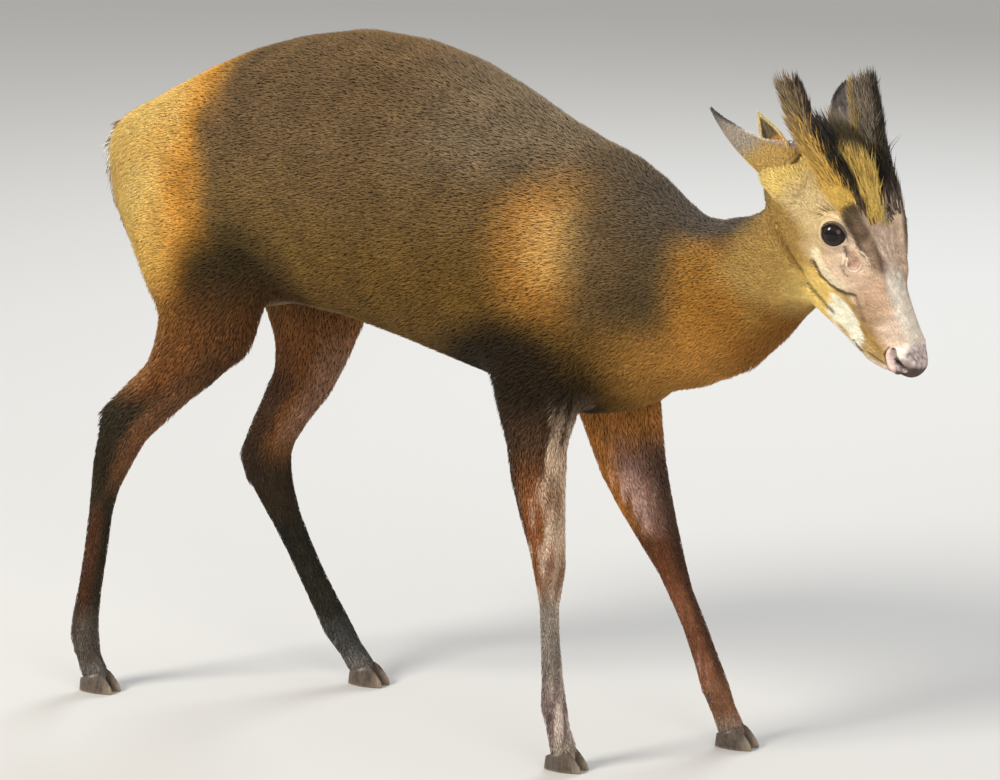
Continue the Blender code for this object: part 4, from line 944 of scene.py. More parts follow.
class Coat:
    """Tufts gathered for one piece: corners, colours and their places on the skin's unwrap."""

    def __init__(self, name, slot):
        self.name = name
        self.slot = slot
        self.parts = []

    def add(
        self, roots, normals, ways, length, width, lift, base, tip, spots, rows=1, droop=0.0, sink=0.0006
    ):
        """One closed tapered tuft at each root; rows is how many cross sections it has."""
        count = len(roots)
        ways = ways - normals * np.sum(ways * normals, axis=1)[:, None]
        ways /= np.linalg.norm(ways, axis=1)[:, None] + 1e-12
        turn = rng.normal(0, 0.13, count)[:, None]
        side = np.cross(ways, normals)
        ways = ways * np.cos(turn) + side * np.sin(turn)
        side = np.cross(ways, normals)
        curl = rng.normal(0, 0.10, count)[:, None] * length[:, None]
        verts = [roots - normals * sink]
        tones = [base * 0.84]
        for row in range(rows):
            share = (row + 1) / (rows + 1) * 0.92 if rows > 1 else 0.40
            middle = roots + ways * (length * share)[:, None]
            middle += normals * (lift * (1.55 * share - 0.55 * share * share) * 1.15)[:, None]
            middle += side * curl * share * share - normals * (droop * length * share * share)[:, None]
            breadth = width * TUFT_BREADTHS[row]
            verts += [
                middle + side * breadth[:, None] / 2,
                middle + normals * breadth[:, None] * 0.30,
                middle - side * breadth[:, None] / 2,
            ]
            shade = base * (0.80 + 0.2 * share) * (1 - share) + tip * share if rows > 1 else base
            tones += [shade, shade, shade]
        end = roots + ways * length[:, None] + normals * (lift * 1.15)[:, None]
        end += side * curl - normals * (droop * length)[:, None]
        verts.append(end)
        tones.append(tip)
        self.parts.append((np.stack(verts, axis=1), np.stack(tones, axis=1), spots, rows))

    def finish(self, material):
        """All tufts as one piece, with their colours and unwrap."""
        verts, tones, faces, uvs = [], [], [], []
        start = 0
        for corners, colours, spots, rows in self.parts:
            count, per = corners.shape[:2]
            last = per - 1
            shape = [(0, 1, 2), (0, 2, 3), (0, 3, 1)]
            for row in range(rows - 1):
                a, b = 1 + 3 * row, 4 + 3 * row
                for low, high in ((0, 1), (1, 2), (2, 0)):
                    shape += [(a + low, b + low, b + high), (a + low, b + high, a + high)]
            a = last - 3
            shape += [(last, a + 1, a), (last, a + 2, a + 1), (last, a, a + 2)]
            shape = np.array(shape)[:, ::-1]
            verts.append(corners.reshape(-1, 3))
            tones.append(colours.reshape(-1, 3))
            faces.append((np.arange(count)[:, None, None] * per + shape[None] + start).reshape(-1, 3))
            around = np.linspace(0, 2 * math.pi, per, endpoint=False)
            patch = np.stack([np.cos(around), np.sin(around)], axis=1) * 0.0015
            uvs.append((spots[:, None, :] + patch[None]).reshape(-1, 2))
            start += count * per
        verts = np.concatenate(verts)
        tones = np.clip(np.concatenate(tones), 0.002, 0.95)
        faces = np.concatenate(faces)
        uvs = np.concatenate(uvs)
        mesh = bpy.data.meshes.new(self.name)
        mesh.vertices.add(len(verts))
        mesh.vertices.foreach_set("co", (verts + np.array(SHIFT)).ravel())
        mesh.loops.add(len(faces) * 3)
        mesh.loops.foreach_set("vertex_index", faces.ravel().astype(np.int32))
        mesh.polygons.add(len(faces))
        mesh.polygons.foreach_set("loop_start", np.arange(len(faces), dtype=np.int32) * 3)
        mesh.update(calc_edges=True)
        layer = mesh.uv_layers.new(name="OFBake")
        layer.uv.foreach_set("vector", uvs[faces.ravel()].astype(np.float32).ravel())
        add_tone(mesh, tones)
        mesh.materials.append(material)
        item = make_object(self.name, mesh)
        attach(item, "root")
        return item


def add_tone(mesh, tones):
    attribute = mesh.color_attributes.new(name="tone", type="FLOAT_COLOR", domain="POINT")
    values = np.ones((len(tones), 4), dtype=np.float32)
    values[:, :3] = tones
    attribute.data.foreach_set("color", values.ravel())


class Surface:
    """A mesh read once: its triangles, their areas and its point normals."""

    def __init__(self, item):
        mesh = item.data
        mesh.calc_loop_triangles()
        self.points = read(item)
        self.normals = read(item, "normal")
        self.faces = np.empty(len(mesh.loop_triangles) * 3, dtype=np.int64)
        mesh.loop_triangles.foreach_get("vertices", self.faces)
        self.faces = self.faces.reshape(-1, 3)
        a, b, c = (self.points[self.faces[:, corner]] for corner in range(3))
        self.centres = (a + b + c) / 3
        self.areas = np.linalg.norm(np.cross(b - a, c - a), axis=1) / 2

    def scatter(self, chosen, per_area):
        """Even random roots on the chosen faces; per_area says how many to each face's square metre."""
        faces = self.faces[chosen]
        total = np.cumsum(self.areas[chosen] * per_area[chosen] * COAT_SHARE)
        picks = np.arange(int(total[-1])) + rng.uniform(0, 1, int(total[-1]))
        index = np.minimum(np.searchsorted(total, picks), len(faces) - 1)
        first = np.sqrt(rng.uniform(0, 1, len(index)))
        second = rng.uniform(0, 1, len(index))
        share = np.stack([1 - first, first * (1 - second), first * second], axis=1)[:, :, None]
        roots = (self.points[faces[index]] * share).sum(axis=1)
        normals = (self.normals[faces[index]] * share).sum(axis=1)
        normals /= np.linalg.norm(normals, axis=1)[:, None] + 1e-12
        return roots, normals


def tuft_tones(tone, pale=0.34, dark=0.22, strength=1.0):
    """Each tuft a little lighter or darker, some with a straw-coloured or a dark tip."""
    count = len(tone)
    base = tone * rng.normal(1.0, 0.11 * strength, count)[:, None].clip(0.6, 1.4)
    tip = base * rng.uniform(1.0, 1.35, count)[:, None]
    draw = rng.uniform(0, 1, count)
    straw = base * 1.55 + np.array((0.040, 0.025, 0.005))
    tip = np.where((draw < pale)[:, None], base + (straw - base) * strength, tip)
    tip = np.where((draw > 1 - dark)[:, None], base * (1 - 0.45 * strength), tip)
    base = base * np.minimum(1, 0.9 / base.max(axis=1))[:, None]
    tip = tip * np.minimum(1, 0.9 / tip.max(axis=1))[:, None]
    return base, tip


def side_spots(points, kind):
    """Places on an unwrap of the skin's own shape: along the body and round it."""
    x, y, z = points.T
    if kind == "trunk":
        middle = np.interp(x, [-0.27, -0.1, 0.0, 0.15, 0.30], [0.44, 0.44, 0.44, 0.395, 0.38])
        u = (x + 0.285) / 0.60
        v = np.arctan2(np.abs(y), z - middle) / math.pi
    elif kind == "head":
        local = to_local(points)
        u = (local[:, 0] + 125) / 240
        v = (np.arctan2(local[:, 1], local[:, 2] + 18) + math.pi) / (2 * math.pi)
    else:
        x_middle, y_middle, depth, width = leg_table(LEGS[kind], z)
        u = z / 0.46
        v = (np.arctan2((y - y_middle) / width, (x - x_middle) / depth) + math.pi) / (2 * math.pi)
    return np.clip(np.stack([u, v], axis=1), 0.003, 0.997)


def coat_size(points):
    """Length, width and rise of the tufts, and how many grow on a square metre."""
    z = points[:, 2]
    local = to_local(points)
    fore = smooth(0.17, 0.28, points[:, 0])
    length = 0.0084 - 0.0020 * fore
    width = 0.00094 - 0.00012 * fore
    lift = 0.0026 - 0.0005 * fore
    number = 405000.0 + 75000.0 * fore
    rear = smooth(-0.20, -0.25, points[:, 0]) * smooth(0.28, 0.34, z)
    length += 0.004 * rear
    for name, weight in leg_weights(points).items():
        low = smooth(0.28, 0.15, z)
        length += ((0.0105 - 0.0045 * low + 0.0016 * smooth(0.040, 0.022, z)) - length) * weight
        width += ((0.0014 - 0.00045 * low) - width) * weight
        lift += ((0.0021 - 0.0011 * low) - lift) * weight
        number += ((210000 + 180000 * low) - number) * weight
    share = head_share(points)
    back = smooth(0, -50, local[:, 0])
    length += ((0.0030 + 0.0050 * back) - length) * share
    width += ((0.00052 + 0.00030 * back) - width) * share
    lift += ((0.00035 + 0.0009 * back) - lift) * share
    number += ((900000 - 400000 * back) - number) * share
    return length, width, lift, number


def bald(points):
    """Where no hair grows: the nose pad, the lips' edge, the lids' edge and the tear gland."""
    local = to_local(points)
    mirrored = local * np.array((1, 0, 1)) + np.abs(local) * np.array((0, 1, 0))
    near_head = head_share(points) > 0.9
    gone = local[:, 0] > np.interp(local[:, 2], *NOSE_EDGE) - 0.6
    for path, radius in ((MOUTH, 2.0), (GLAND, 1.4), (TEAR, 1.6), (NOSE_ARC, 2.2), (NOSTRIL, 4)):
        gone |= path_distance(mirrored, LAID[path]) < radius
    eye = np.array(EYE_PLACE) * 1000
    gone |= np.linalg.norm(mirrored - eye, axis=1) < EYE_RADIUS * 1000 + 1.2
    return gone & near_head


def grow_coat(surface, material):
    """The coat of the whole body in pieces, each over its own stretch of the skin."""
    centres = surface.centres
    x, y, z = centres.T
    weights = leg_weights(centres)
    leg_of = np.full(len(centres), -1)
    for index, name in enumerate(LEGS):
        leg_of[weights[name] > 0.5] = index
    is_head = head_share(centres) > 0.5
    trunk = (leg_of < 0) & ~is_head
    soil = z < 0.0
    slope = math.tan(math.radians(CORONET_SLOPE))
    for cx, cy in CORONET.values():
        under = z < CORONET_HEIGHT + (x - cx) * slope - 0.001
        soil |= under & (np.abs(y - cy) < 0.03) & (np.abs(x - cx) < 0.04) & (z < 0.045)
    groups = []
    cuts = (-1.0, -0.155, -0.045, 0.060, 0.165, 1.0)
    for start, end in zip(cuts, cuts[1:]):
        for side, label in ((-1, "right"), (1, "left")):
            chosen = trunk & (x >= start) & (x < end) & (y * side >= 0)
            groups.append((f"coat_trunk_{label}_{len(groups) // 2 + 1}", "body_coat", "trunk", chosen))
    for index, name in enumerate(LEGS):
        groups.append((f"coat_leg_{name}", "leg_coat", name, leg_of == index))
    groups.append(("coat_head_right", "face_coat", "head", is_head & (y < HEAD_PLACE[1])))
    groups.append(("coat_head_left", "face_coat", "head", is_head & (y >= HEAD_PLACE[1])))
    number = np.where(bald(centres) | soil, 0, coat_size(centres)[3])
    for name, slot, kind, chosen in groups:
        roots, normals = surface.scatter(chosen, number)
        length, width, lift, _ = coat_size(roots)
        length = length * rng.uniform(0.72, 1.25, len(roots))
        base, tip = tuft_tones(markings_and_painted_light(roots, normals), strength=0.45 if kind == "head" else 0.65)
        coat = Coat(name, slot)
        coat.add(
            roots, normals, hair_way(roots, normals), length, width * rng.uniform(0.8, 1.2, len(roots)),
            lift * rng.uniform(0.7, 1.25, len(roots)), base, tip, side_spots(roots, kind),
        )
        coat.finish(material)


# Pedicles, forehead hair, tail

def pedicle_path(side):
    scale = FAR_PEDICLE_SCALE if side > 0 else 1.0
    first = PEDICLE[0]
    places = []
    radii = []
    for index, row in enumerate(PEDICLE):
        x, y, z = (start + (value - start) * scale for start, value in zip(first[:3], row[:3]))
        if side > 0:
            x -= FAR_PEDICLE_BACK * min(1, index / 3)
        places.append(tuple(head_point(x, -side * y, z)))
        radii.append(row[3] / 1000 * (FAR_PEDICLE_WIDER if side > 0 else 1.0))
    return np.array(places), np.array(radii)


def on_path(places, radii, share):
    """Place, heading and radius at shares of the way along a path."""
    steps = np.linspace(0, 1, len(places))

    def at(where):
        return np.stack([np.interp(where, steps, places[:, axis]) for axis in range(3)], axis=1)

    return at(share), unit(at(share + 0.02) - at(share - 0.02)), np.interp(share, steps, radii)


def along_core(heading, outward, tilt):
    """Ways and normals of hair that lies along a core and stands off it by the tilt."""
    return heading + outward * tilt[:, None], unit(outward - heading * tilt[:, None])


def make_pedicle(label, side, fur, skin_material):
    """A core under long bristly hair that lies along it, splays at the top and is black inside."""
    places, radii = pedicle_path(side)
    spots, _, core = on_path(places, radii, np.linspace(0, 0.86, 14))
    item = tube("pedicle_core_" + label, [tuple(p) for p in spots], list(core * 0.62), sides=24)
    finish_piece(item, flat((0.10, 0.07, 0.03), len(item.data.vertices)), skin_material)
    count = int(PEDICLE_TUFTS * COAT_SHARE)
    share = rng.uniform(0.0, 1.0, count) ** 0.9 * 0.80
    place, heading, radius = on_path(places, radii, share)
    medial = HEAD_TURN @ np.array((0.10, -side, 0.0))
    first = unit(medial - heading * (heading @ medial)[:, None])
    second = np.cross(heading, first)
    turn = rng.uniform(-math.pi, math.pi, count)
    outward = first * np.cos(turn)[:, None] + second * np.sin(turn)[:, None]
    roots = place + outward * (radius * 0.55)[:, None]
    top = smooth(0.45, 0.8, share)
    ways, normals = along_core(heading, outward, rng.uniform(0.16, 0.30, count))
    length = rng.uniform(0.014, 0.024, count) * (1 - 0.30 * top * (0.5 + 0.5 * np.cos(turn)))
    width = rng.uniform(0.0008, 0.0014, count)
    inner = smooth(0.10, 0.62, np.cos(turn) + 0.18 * wobble(roots, 0.012, 41))
    right_side = outward @ HEAD_TURN @ np.array(PEDICLE_DARK_WAY) + 0.15 * wobble(roots, 0.012, 47)
    tone = paint(flat((0.72, 0.42, 0.060), count), ((0.48, 0.33, 0.12), 0.5, (np.cos(turn), -0.2, -0.9)))
    black = np.maximum(inner, smooth(0.02, 0.32, right_side))
    if side > 0:
        tone = paint(
            tone,
            ((0.40, 0.30, 0.110), 0.7),
            ((0.250, 0.205, 0.145), 1, (right_side, -0.93, -0.72)),
        )
        black = smooth(0.15, 0.60, right_side)
    grey = (0.88 if side < 0 else 0.45) * (1 - 0.6 * black)
    tone = paint(
        tone,
        ((0.020, 0.016, 0.011), black),
        ((0.165, 0.132, 0.100), grey, (share + 0.10 * wobble(roots, 0.010, 43), 0.34, 0.60)),
    )
    base, tip = tuft_tones(tone, pale=0.18, dark=0.30, strength=0.8)
    coat = Coat("pedicle_hair_" + label, "pedicle_hair")
    unwrap = np.stack([np.clip(share, 0.01, 0.99), (turn + math.pi) / (2 * math.pi) * 0.98 + 0.01], axis=1)
    coat.add(
        roots, normals, ways, length, width, length * 0.0, base, tip, unwrap,
        rows=3, droop=0.06, sink=0.001,
    )
    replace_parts(coat.finish(fur), "pedicle_" + label)


def make_forehead(surface, fur):
    """Longer hair between the pedicles: golden in the middle, black at both sides."""
    x, y, z = to_local(surface.centres).T
    reach = np.where(y > 0, 27, 24)
    zone = (x > -66) & (x < 14) & (np.abs(y) < reach) & (z > 10)
    front = smooth(14, 3, x + 0.5 * np.maximum(np.abs(y) - 12, 0))
    roots, normals = surface.scatter(zone, FOREHEAD_TUFTS * front * smooth(reach, reach - 6, np.abs(y)))
    x, y, z = to_local(roots).T
    count = len(roots)
    uneven = 1.5 * wobble(roots, 0.008, 51)
    middle = smooth(12.0, 8.5, np.abs(y + TUFT_ASIDE) + uneven) * smooth(-36, -26, x + uneven)
    outer = smooth(20.5, 23.0, -y + uneven)
    rise = smooth(15, -8, x)
    length = 0.005 + (0.019 * middle + 0.020 * (1 - middle) * (1 - 0.6 * outer)) * rise
    length = length * rng.uniform(0.75, 1.2, count)
    lean = np.stack([np.full(count, -1.0), 0.10 * np.sign(y), 0.10 + (0.35 + 0.35 * middle) * rise], axis=1)
    lean = unit(lean @ HEAD_TURN.T)
    lift = np.clip(np.sum(lean * normals, axis=1), 0.1, 0.8) * length
    strand = rng.uniform(0, 1, count)
    tone = paint(
        flat((0.019, 0.015, 0.011), count),
        ((0.120, 0.078, 0.052), 1, (x, -6, 8)),
        ((0.74, 0.47, 0.09), outer),
        ((0.98, 0.68, 0.18), middle),
        ((0.26, 0.165, 0.050), middle * (strand < 0.05 + 0.28 * smooth(-8, -30, x))),
        ((0.170, 0.125, 0.062), 0.9, (x, -18, -30), (y, -5, 1), (y, 26, 16)),
        ((0.36, 0.300, 0.260), (1 - middle) * (strand > 0.55) * (y > 4), (x, -4, 6)),
    )
    base, tip = tuft_tones(tone, pale=0.25, dark=0.25, strength=0.9)
    coat = Coat("forehead_hair", "face_coat")
    coat.add(
        roots, normals, lean, length, rng.uniform(0.0007, 0.0012, count), lift, base, tip,
        side_spots(roots, "head"), rows=2, sink=0.001,
    )
    coat.finish(fur)


def make_tail(fur, skin_material):
    """A short hanging tail, brown outside, with a white fringe that shows past it."""
    core = [ring._replace(depth=ring.depth * 0.55, width=ring.width * 0.62) for ring in TAIL]
    item = loft("tail_core", core, sides=20)
    finish_piece(item, flat((0.30, 0.20, 0.09), len(item.data.vertices)), skin_material)
    places = np.array([ring[:3] for ring in TAIL])
    widths = np.array([ring.width for ring in TAIL])
    side = np.array((0.0, 1.0, 0.0))
    coat = Coat("tail_hair", "tail_hair")
    for white, tufts, lengths, colour, bright in (
        (False, 1300, (0.010, 0.016), (0.30, 0.185, 0.075), 1.0),
        (True, 1500, (0.014, 0.022), (0.78, 0.75, 0.68), 1.45),
    ):
        count = int(tufts * COAT_SHARE)
        share = rng.uniform(0.16, 0.86, count)
        place, heading, width = on_path(places, widths, share)
        turn = rng.uniform(-math.pi, math.pi, count)
        turn = np.where((np.cos(turn) > 0.25) == white, math.pi - turn, turn)
        back = np.cross(heading, side)
        back *= -np.sign(back[:, 0:1])
        outward = back * np.cos(turn)[:, None] + side * np.sin(turn)[:, None]
        roots = place + outward * (width * 0.50)[:, None] * np.array((0.8, 1, 0.8))
        ways, normals = along_core(heading, outward, rng.uniform(0.06, 0.20, count))
        length = rng.uniform(*lengths, count)
        base, tip = tuft_tones(flat(colour, count), pale=0.1, dark=0.05, strength=0.4)
        unwrap = np.stack([share, (turn + 1.6 * math.pi) / (3.2 * math.pi)], axis=1)
        coat.add(
            roots, normals, ways, length, rng.uniform(0.0008, 0.0013, count), length * 0.0,
            base * bright, tip, np.clip(unwrap, 0.01, 0.99), rows=3, droop=0.05,
        )
    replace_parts(coat.finish(fur), "tail")


# Ears

def make_leaf(name, leaf, base, tip, opens, spread, rows=40, columns=29, thickness=1.4):
    """A thin rolled leaf, and the points along its edge."""
    base = Vector(base)
    axis = Vector(tip) - base
    along = axis.normalized()
    inward = Vector(opens)
    inward = (inward - along * inward.dot(along)).normalized()
    across = along.cross(inward)
    steps = np.linspace(0, 1, len(leaf.radii))
    bm = bmesh.new()
    grid = []
    for row in range(rows):
        share = row / (rows - 1)
        opening = 1 + (spread - 1) * min(1, share * 2.5)
        radius = np.interp(share, steps, leaf.radii) * opening
        half_turn = np.interp(share, steps, leaf.half_turns) / opening
        middle = base + axis * share - inward * leaf.bow * math.sin(math.pi * share)
        line = []
        for column in range(columns):
            turn = (2 * column / (columns - 1) - 1) * half_turn
            place = middle + across * radius * math.sin(turn) + inward * radius * (1 - math.cos(turn))
            line.append(bm.verts.new(head_point(*place)))
        grid.append(line)
    for low, high in zip(grid, grid[1:]):
        join_rows(bm, low, high, closed=False)
    edge = [tuple(line[0].co) for line in grid] + [tuple(line[-1].co) for line in grid[::-1]]
    item = from_bmesh(name, bm)
    shell = item.modifiers.new("thickness", "SOLIDIFY")
    shell.thickness = thickness / 1000
    shell.offset = 0.0
    apply_modifiers(item)
    return item, edge


def ear_tone(lobe, spot, inner, edge):
    """Colours of an ear or its lobe: spot runs from root to tip, inner is 1 inside, edge is 1 at the rim."""
    count = len(spot)
    if lobe:
        tone = flat((0.70, 0.46, 0.13), count)
        inside = paint(
            flat((0.78, 0.38, 0.07), count),
            # Painted shadow inside the lobe's fold, from a quarter of the way up to near the tip
            ((0.15, 0.115, 0.055), 1, (spot, 0.25, 0.5), (spot, 1.0, 0.85)),
        )
        tone = mix(tone, inside, inner[:, None])
        return blend(tone, (0.82, 0.66, 0.34), edge)
    tone = paint(
        flat((0.58, 0.385, 0.125), count),
        ((0.42, 0.36, 0.29), 1, (spot, 0.25, 0.5)),
        ((0.150, 0.142, 0.135), 1, (spot, 0.66, 0.95)),
    )
    inside = paint(
        flat((0.46, 0.35, 0.31), count),
        ((0.23, 0.205, 0.19), 1, (spot, 0.45, 0.95)),
    )
    tone = mix(tone, inside, inner[:, None])
    tone = blend(tone, (0.86, 0.80, 0.70), edge * smooth(0.70, 0.50, spot) * 0.85)
    return blend(tone, (0.055, 0.050, 0.046), edge * smooth(0.62, 0.80, spot) * 0.9)


def make_ear(label, side, fur, skin_material):
    """The ear's leaf and its small front lobe, with short hair over both and a paler rim."""
    def to_side(point):
        return (point[0], side * abs(point[1]), point[2])

    pieces = (
        ("ear_", EAR_LEAVES[side], EAR_BASE, EAR_TIPS[side], EAR_OPENS[side], EAR_SPREAD[side]),
        ("ear_lobe_", LOBE_LEAF, LOBE_BASE, LOBE_TIP, to_side(LOBE_OPENS), 1.0),
    )
    coat = Coat("ear_hair_" + label, "ear_skin")
    for index, (name, leaf, base, tip, opens, spread) in enumerate(pieces):
        base, tip = to_side(base), to_side(tip)
        item, edge = make_leaf(name + label + "_skin", leaf, base, tip, opens, spread)
        axis = (np.array(tip) - np.array(base)).astype(float)
        way_in = np.array(opens) / np.linalg.norm(opens)
        reach = EAR_RIMS[index]

        def look(points, normals):
            spot = np.clip((to_local(points) - np.array(base)) @ axis / (axis @ axis), 0, 1)
            inner = smooth(-0.1, 0.25, (normals @ HEAD_TURN) @ way_in)
            rim = smooth(reach * 1.5, reach * 0.5, path_distance(points, edge))
            return spot, inner, rim

        # Painted shade: the far lobe darker and bluer than the near one
        lobe_shade = np.array(FAR_LOBE_SHADE) if side > 0 and index == 1 else 1.0
        leaf_tones = ear_tone(index == 1, *look(read(item), read(item, "normal"))) * lobe_shade
        finish_piece(item, leaf_tones, skin_material, shift=False)
        surface = Surface(item)
        everywhere = np.ones(len(surface.areas), bool)
        roots, normals = surface.scatter(everywhere, everywhere * EAR_TUFTS[index])
        spot, inner, rim = look(roots, normals)
        keep = (rng.uniform(0, 1, len(roots)) > inner * 0.72 * (1 - rim)) & (spot > 0.02)
        roots, normals, spot, inner, rim = (values[keep] for values in (roots, normals, spot, inner, rim))
        tone = ear_tone(index == 1, spot, inner, rim) * lobe_shade
        base_tone, tip_tone = tuft_tones(tone, pale=0.15, dark=0.15, strength=0.5)
        way = flat(HEAD_TURN @ (axis / np.linalg.norm(axis)), len(roots))
        length = rng.uniform(0.0032, 0.0052, len(roots)) * (1 - 0.35 * spot)
        unwrap = np.stack([
            spot * 0.45 + 0.02 + 0.5 * index,
            np.clip((normals @ HEAD_TURN)[:, 1] * 0.45 + 0.5, 0.02, 0.98),
        ], axis=1)
        coat.add(
            roots, normals, way, length, rng.uniform(0.0005, 0.0009, len(roots)),
            length * 0.14, base_tone, tip_tone, unwrap, sink=0.0003,
        )
        item.data.transform(Matrix.Translation(SHIFT))
        if index == 0:
            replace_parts(item, "ear_" + label)
    coat.finish(fur)


# Hooves

def make_claw(name, x, y, spot, material):
    """One claw: flat below, a flatter inner wall, a toe that narrows, and a top hidden by the hair."""
    share_up = np.linspace(0, 1, HOOF_ROWS)
    length = np.interp(share_up, (0, 0.06, 0.2, 0.5, 0.8, 1), (0.96, 1.0, 0.95, 0.80, 0.64, 0.50))
    width = np.interp(share_up, (0, 0.06, 0.2, 0.5, 0.8, 1), (0.84, 0.94, 1.0, 1.0, 0.93, 0.70))
    shift = np.interp(share_up, (0, 0.2, 0.5, 0.8, 1), (0, -0.0006, -0.0028, -0.0050, -0.0070))
    angle = 2 * math.pi * np.arange(HOOF_SIDES) / HOOF_SIDES
    c = np.cos(angle)
    s = np.sin(angle)
    wall = (1 - HOOF_TOE_NARROWS * np.maximum(c, 0) ** 2) * np.where(s * spot < 0, HOOF_INNER_WALL, 1.0)
    slope = math.tan(math.radians(CORONET_SLOPE))
    outlines = []
    for up, long, broad, back in zip(share_up, length, width, shift):
        ring = 1 + 0.010 * math.sin(up * 34)
        forward = back + c * HOOF_LENGTH / 2 * long * ring
        aside = spot * HOOF_SPACING / 2 + s * HOOF_WIDTH / 2 * broad * wall * ring
        height = up * (CORONET_HEIGHT + 0.0005 + forward * slope)
        outlines.append([Vector((x + f, y + a, h)) for f, a, h in zip(forward, aside, height)])
    item = skin_rings(name, outlines)
    points = read(item)
    forward = (points[:, 0] - x) / (HOOF_LENGTH / 2)
    streak = wobble(points * np.array((1, 1, 0.12)), 0.0045, 71)
    tones = paint(
        flat((0.105, 0.076, 0.056), len(points)),
        ((0.036, 0.027, 0.022), 0.75, (streak, -0.1, 0.9)),
        ((0.44, 0.35, 0.25), 0.6, (forward, 0.35, 1.05)),
        ((0.40, 0.34, 0.27), 0.5, (points[:, 2], 0.0022, 0.0)),
    )
    finish_piece(item, tones, material)
    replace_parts(item, name.replace("claw", "hoof"))


def make_dewclaw(name, material):
    """A small blunt horn that lies against the back of the leg."""
    low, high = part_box(name)
    middle = (low + high) / 2 - SHIFT
    tall = (high - low).z
    points = [
        (middle.x + DEWCLAW_FORWARD + x, middle.y, middle.z + share * tall) for x, share, _ in DEWCLAW_ROWS
    ]
    item = tube("claw_" + name, points, [row[2] for row in DEWCLAW_ROWS], sides=16)
    streak = wobble(read(item) * np.array((1, 1, 0.2)), 0.003, 73)
    tones = paint(flat((0.085, 0.064, 0.050), len(streak)), ((0.030, 0.024, 0.020), 1, (streak, 0, 0.8)))
    finish_piece(item, tones, material)
    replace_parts(item, name)


# Eyes and lids

def make_eyeball(label, side, material):
    """A ball with a bulging front, a dark iris and a wide pupil."""
    middle, look, corner, rise = eye_frame(side)
    bm = bmesh.new()
    bmesh.ops.create_uvsphere(bm, u_segments=72, v_segments=48, radius=EYE_RADIUS)
    turn = look.to_track_quat("Z", "Y").to_matrix().to_4x4()
    bm.transform(Matrix.Translation(middle) @ turn)
    item = from_bmesh("eyeball_" + label, bm)
    local = read(item) - np.array(middle)
    facing = local @ np.array(look) / EYE_RADIUS
    bulge = smooth(0.62, 1.0, facing) * EYE_BULGE
    write(item, read(item) + local / EYE_RADIUS * bulge[:, None])
    along, high = local @ np.array(corner), local @ np.array(rise)
    pupil = smooth(1.1, 0.9, np.hypot(along / PUPIL[0], high / PUPIL[1])) * (facing > 0)
    tones = paint(
        flat((0.026, 0.0105, 0.0065), len(local)),
        ((0.012, 0.007, 0.005), 1, (np.hypot(along, high) / IRIS_RADIUS, 0.62, 0.90)),
        ((0.004, 0.004, 0.005), pupil),
    )
    item.data.transform(HEAD)
    finish_piece(item, tones, material)
    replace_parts(item, "eye_" + label)


def lid_rim(axes, angle, scale=1.0):
    """The way from the eye's middle to the outline of the lid opening."""
    _, look, corner, rise = axes
    return (look * EYE_RADIUS * 0.7 + corner * math.cos(angle) * EYE_OPENING[0] * scale
            + rise * math.sin(angle) * EYE_OPENING[1] * scale)


def make_lids(label, side, material):
    """A rolled rim round the eye, thick and dark above, thin and pale below."""
    axes = eye_frame(side)
    middle, look, corner, rise = axes
    rows, shades = [], []
    for angle in np.arange(LID_STEPS) * 2 * math.pi / LID_STEPS:
        outward = lid_rim(axes, angle, lid_reach(angle)).normalized()
        around = (corner * -math.sin(angle) + rise * math.cos(angle)).normalized()
        away = outward.cross(around).normalized()
        if away.dot(look) > 0:
            away = -away
        centre = middle + outward * (EYE_RADIUS + 0.0004) + away * 0.0006
        size = 0.00065 + 0.0006 * max(0, math.sin(angle))
        dark = smooth(-0.10, 0.30, math.sin(angle))
        pale = mix(np.array((0.88, 0.66, 0.52)), np.array((0.16, 0.105, 0.070)), dark)
        row = []
        for turn in np.arange(LID_SIDES) * 2 * math.pi / LID_SIDES:
            around = away * math.cos(turn) * size * 1.35 + outward * math.sin(turn) * size
            row.append(HEAD @ (centre + around))
            rim = smooth(-0.25, -0.8, math.cos(turn)) * (0.30 + 0.70 * dark)
            shades.append(mix(pale, np.array((0.020, 0.014, 0.012)), rim))
        rows.append(row)
    bm = bmesh.new()
    grid = [[bm.verts.new(point) for point in row] for row in rows]
    for low, high in zip(grid, grid[1:] + grid[:1]):
        join_rows(bm, low, high)
    bmesh.ops.recalc_face_normals(bm, faces=bm.faces)
    finish_piece(from_bmesh("eyelids_" + label, bm), np.array(shades), material)


def make_lashes(label, side, fur):
    axes = eye_frame(side)
    middle, look, corner, rise = axes
    angles = rng.uniform(0.35, 2.6, LASHES)
    edge = np.array([middle + lid_rim(axes, a).normalized() * (EYE_RADIUS + 0.0016) for a in angles])
    roots = edge @ HEAD_TURN.T + HEAD_PLACE
    normals = flat(HEAD_TURN @ np.array(rise), LASHES)
    way = flat(HEAD_TURN @ np.array(look + corner * 0.1), LASHES)
    length = rng.uniform(0.0016, 0.0030, LASHES)
    tone = flat((0.025, 0.017, 0.012), LASHES)
    lashes = Coat("eyelashes_" + label, "face_coat")
    lashes.add(
        roots, normals, way, length, np.full(LASHES, 0.00035), length * 0.15, tone, tone,
        side_spots(roots, "head"), rows=2, droop=0.05,
    )
    lashes.finish(fur)


# Materials

def new_material(name):
    material = bpy.data.materials.new(name)
    material.use_nodes = True
    return material, material.node_tree.nodes, material.node_tree.links


def set_inputs(node, **values):
    """Sets a node's inputs; an underscore stands for a space."""
    for name, value in values.items():
        node.inputs[name.replace("_", " ")].default_value = value


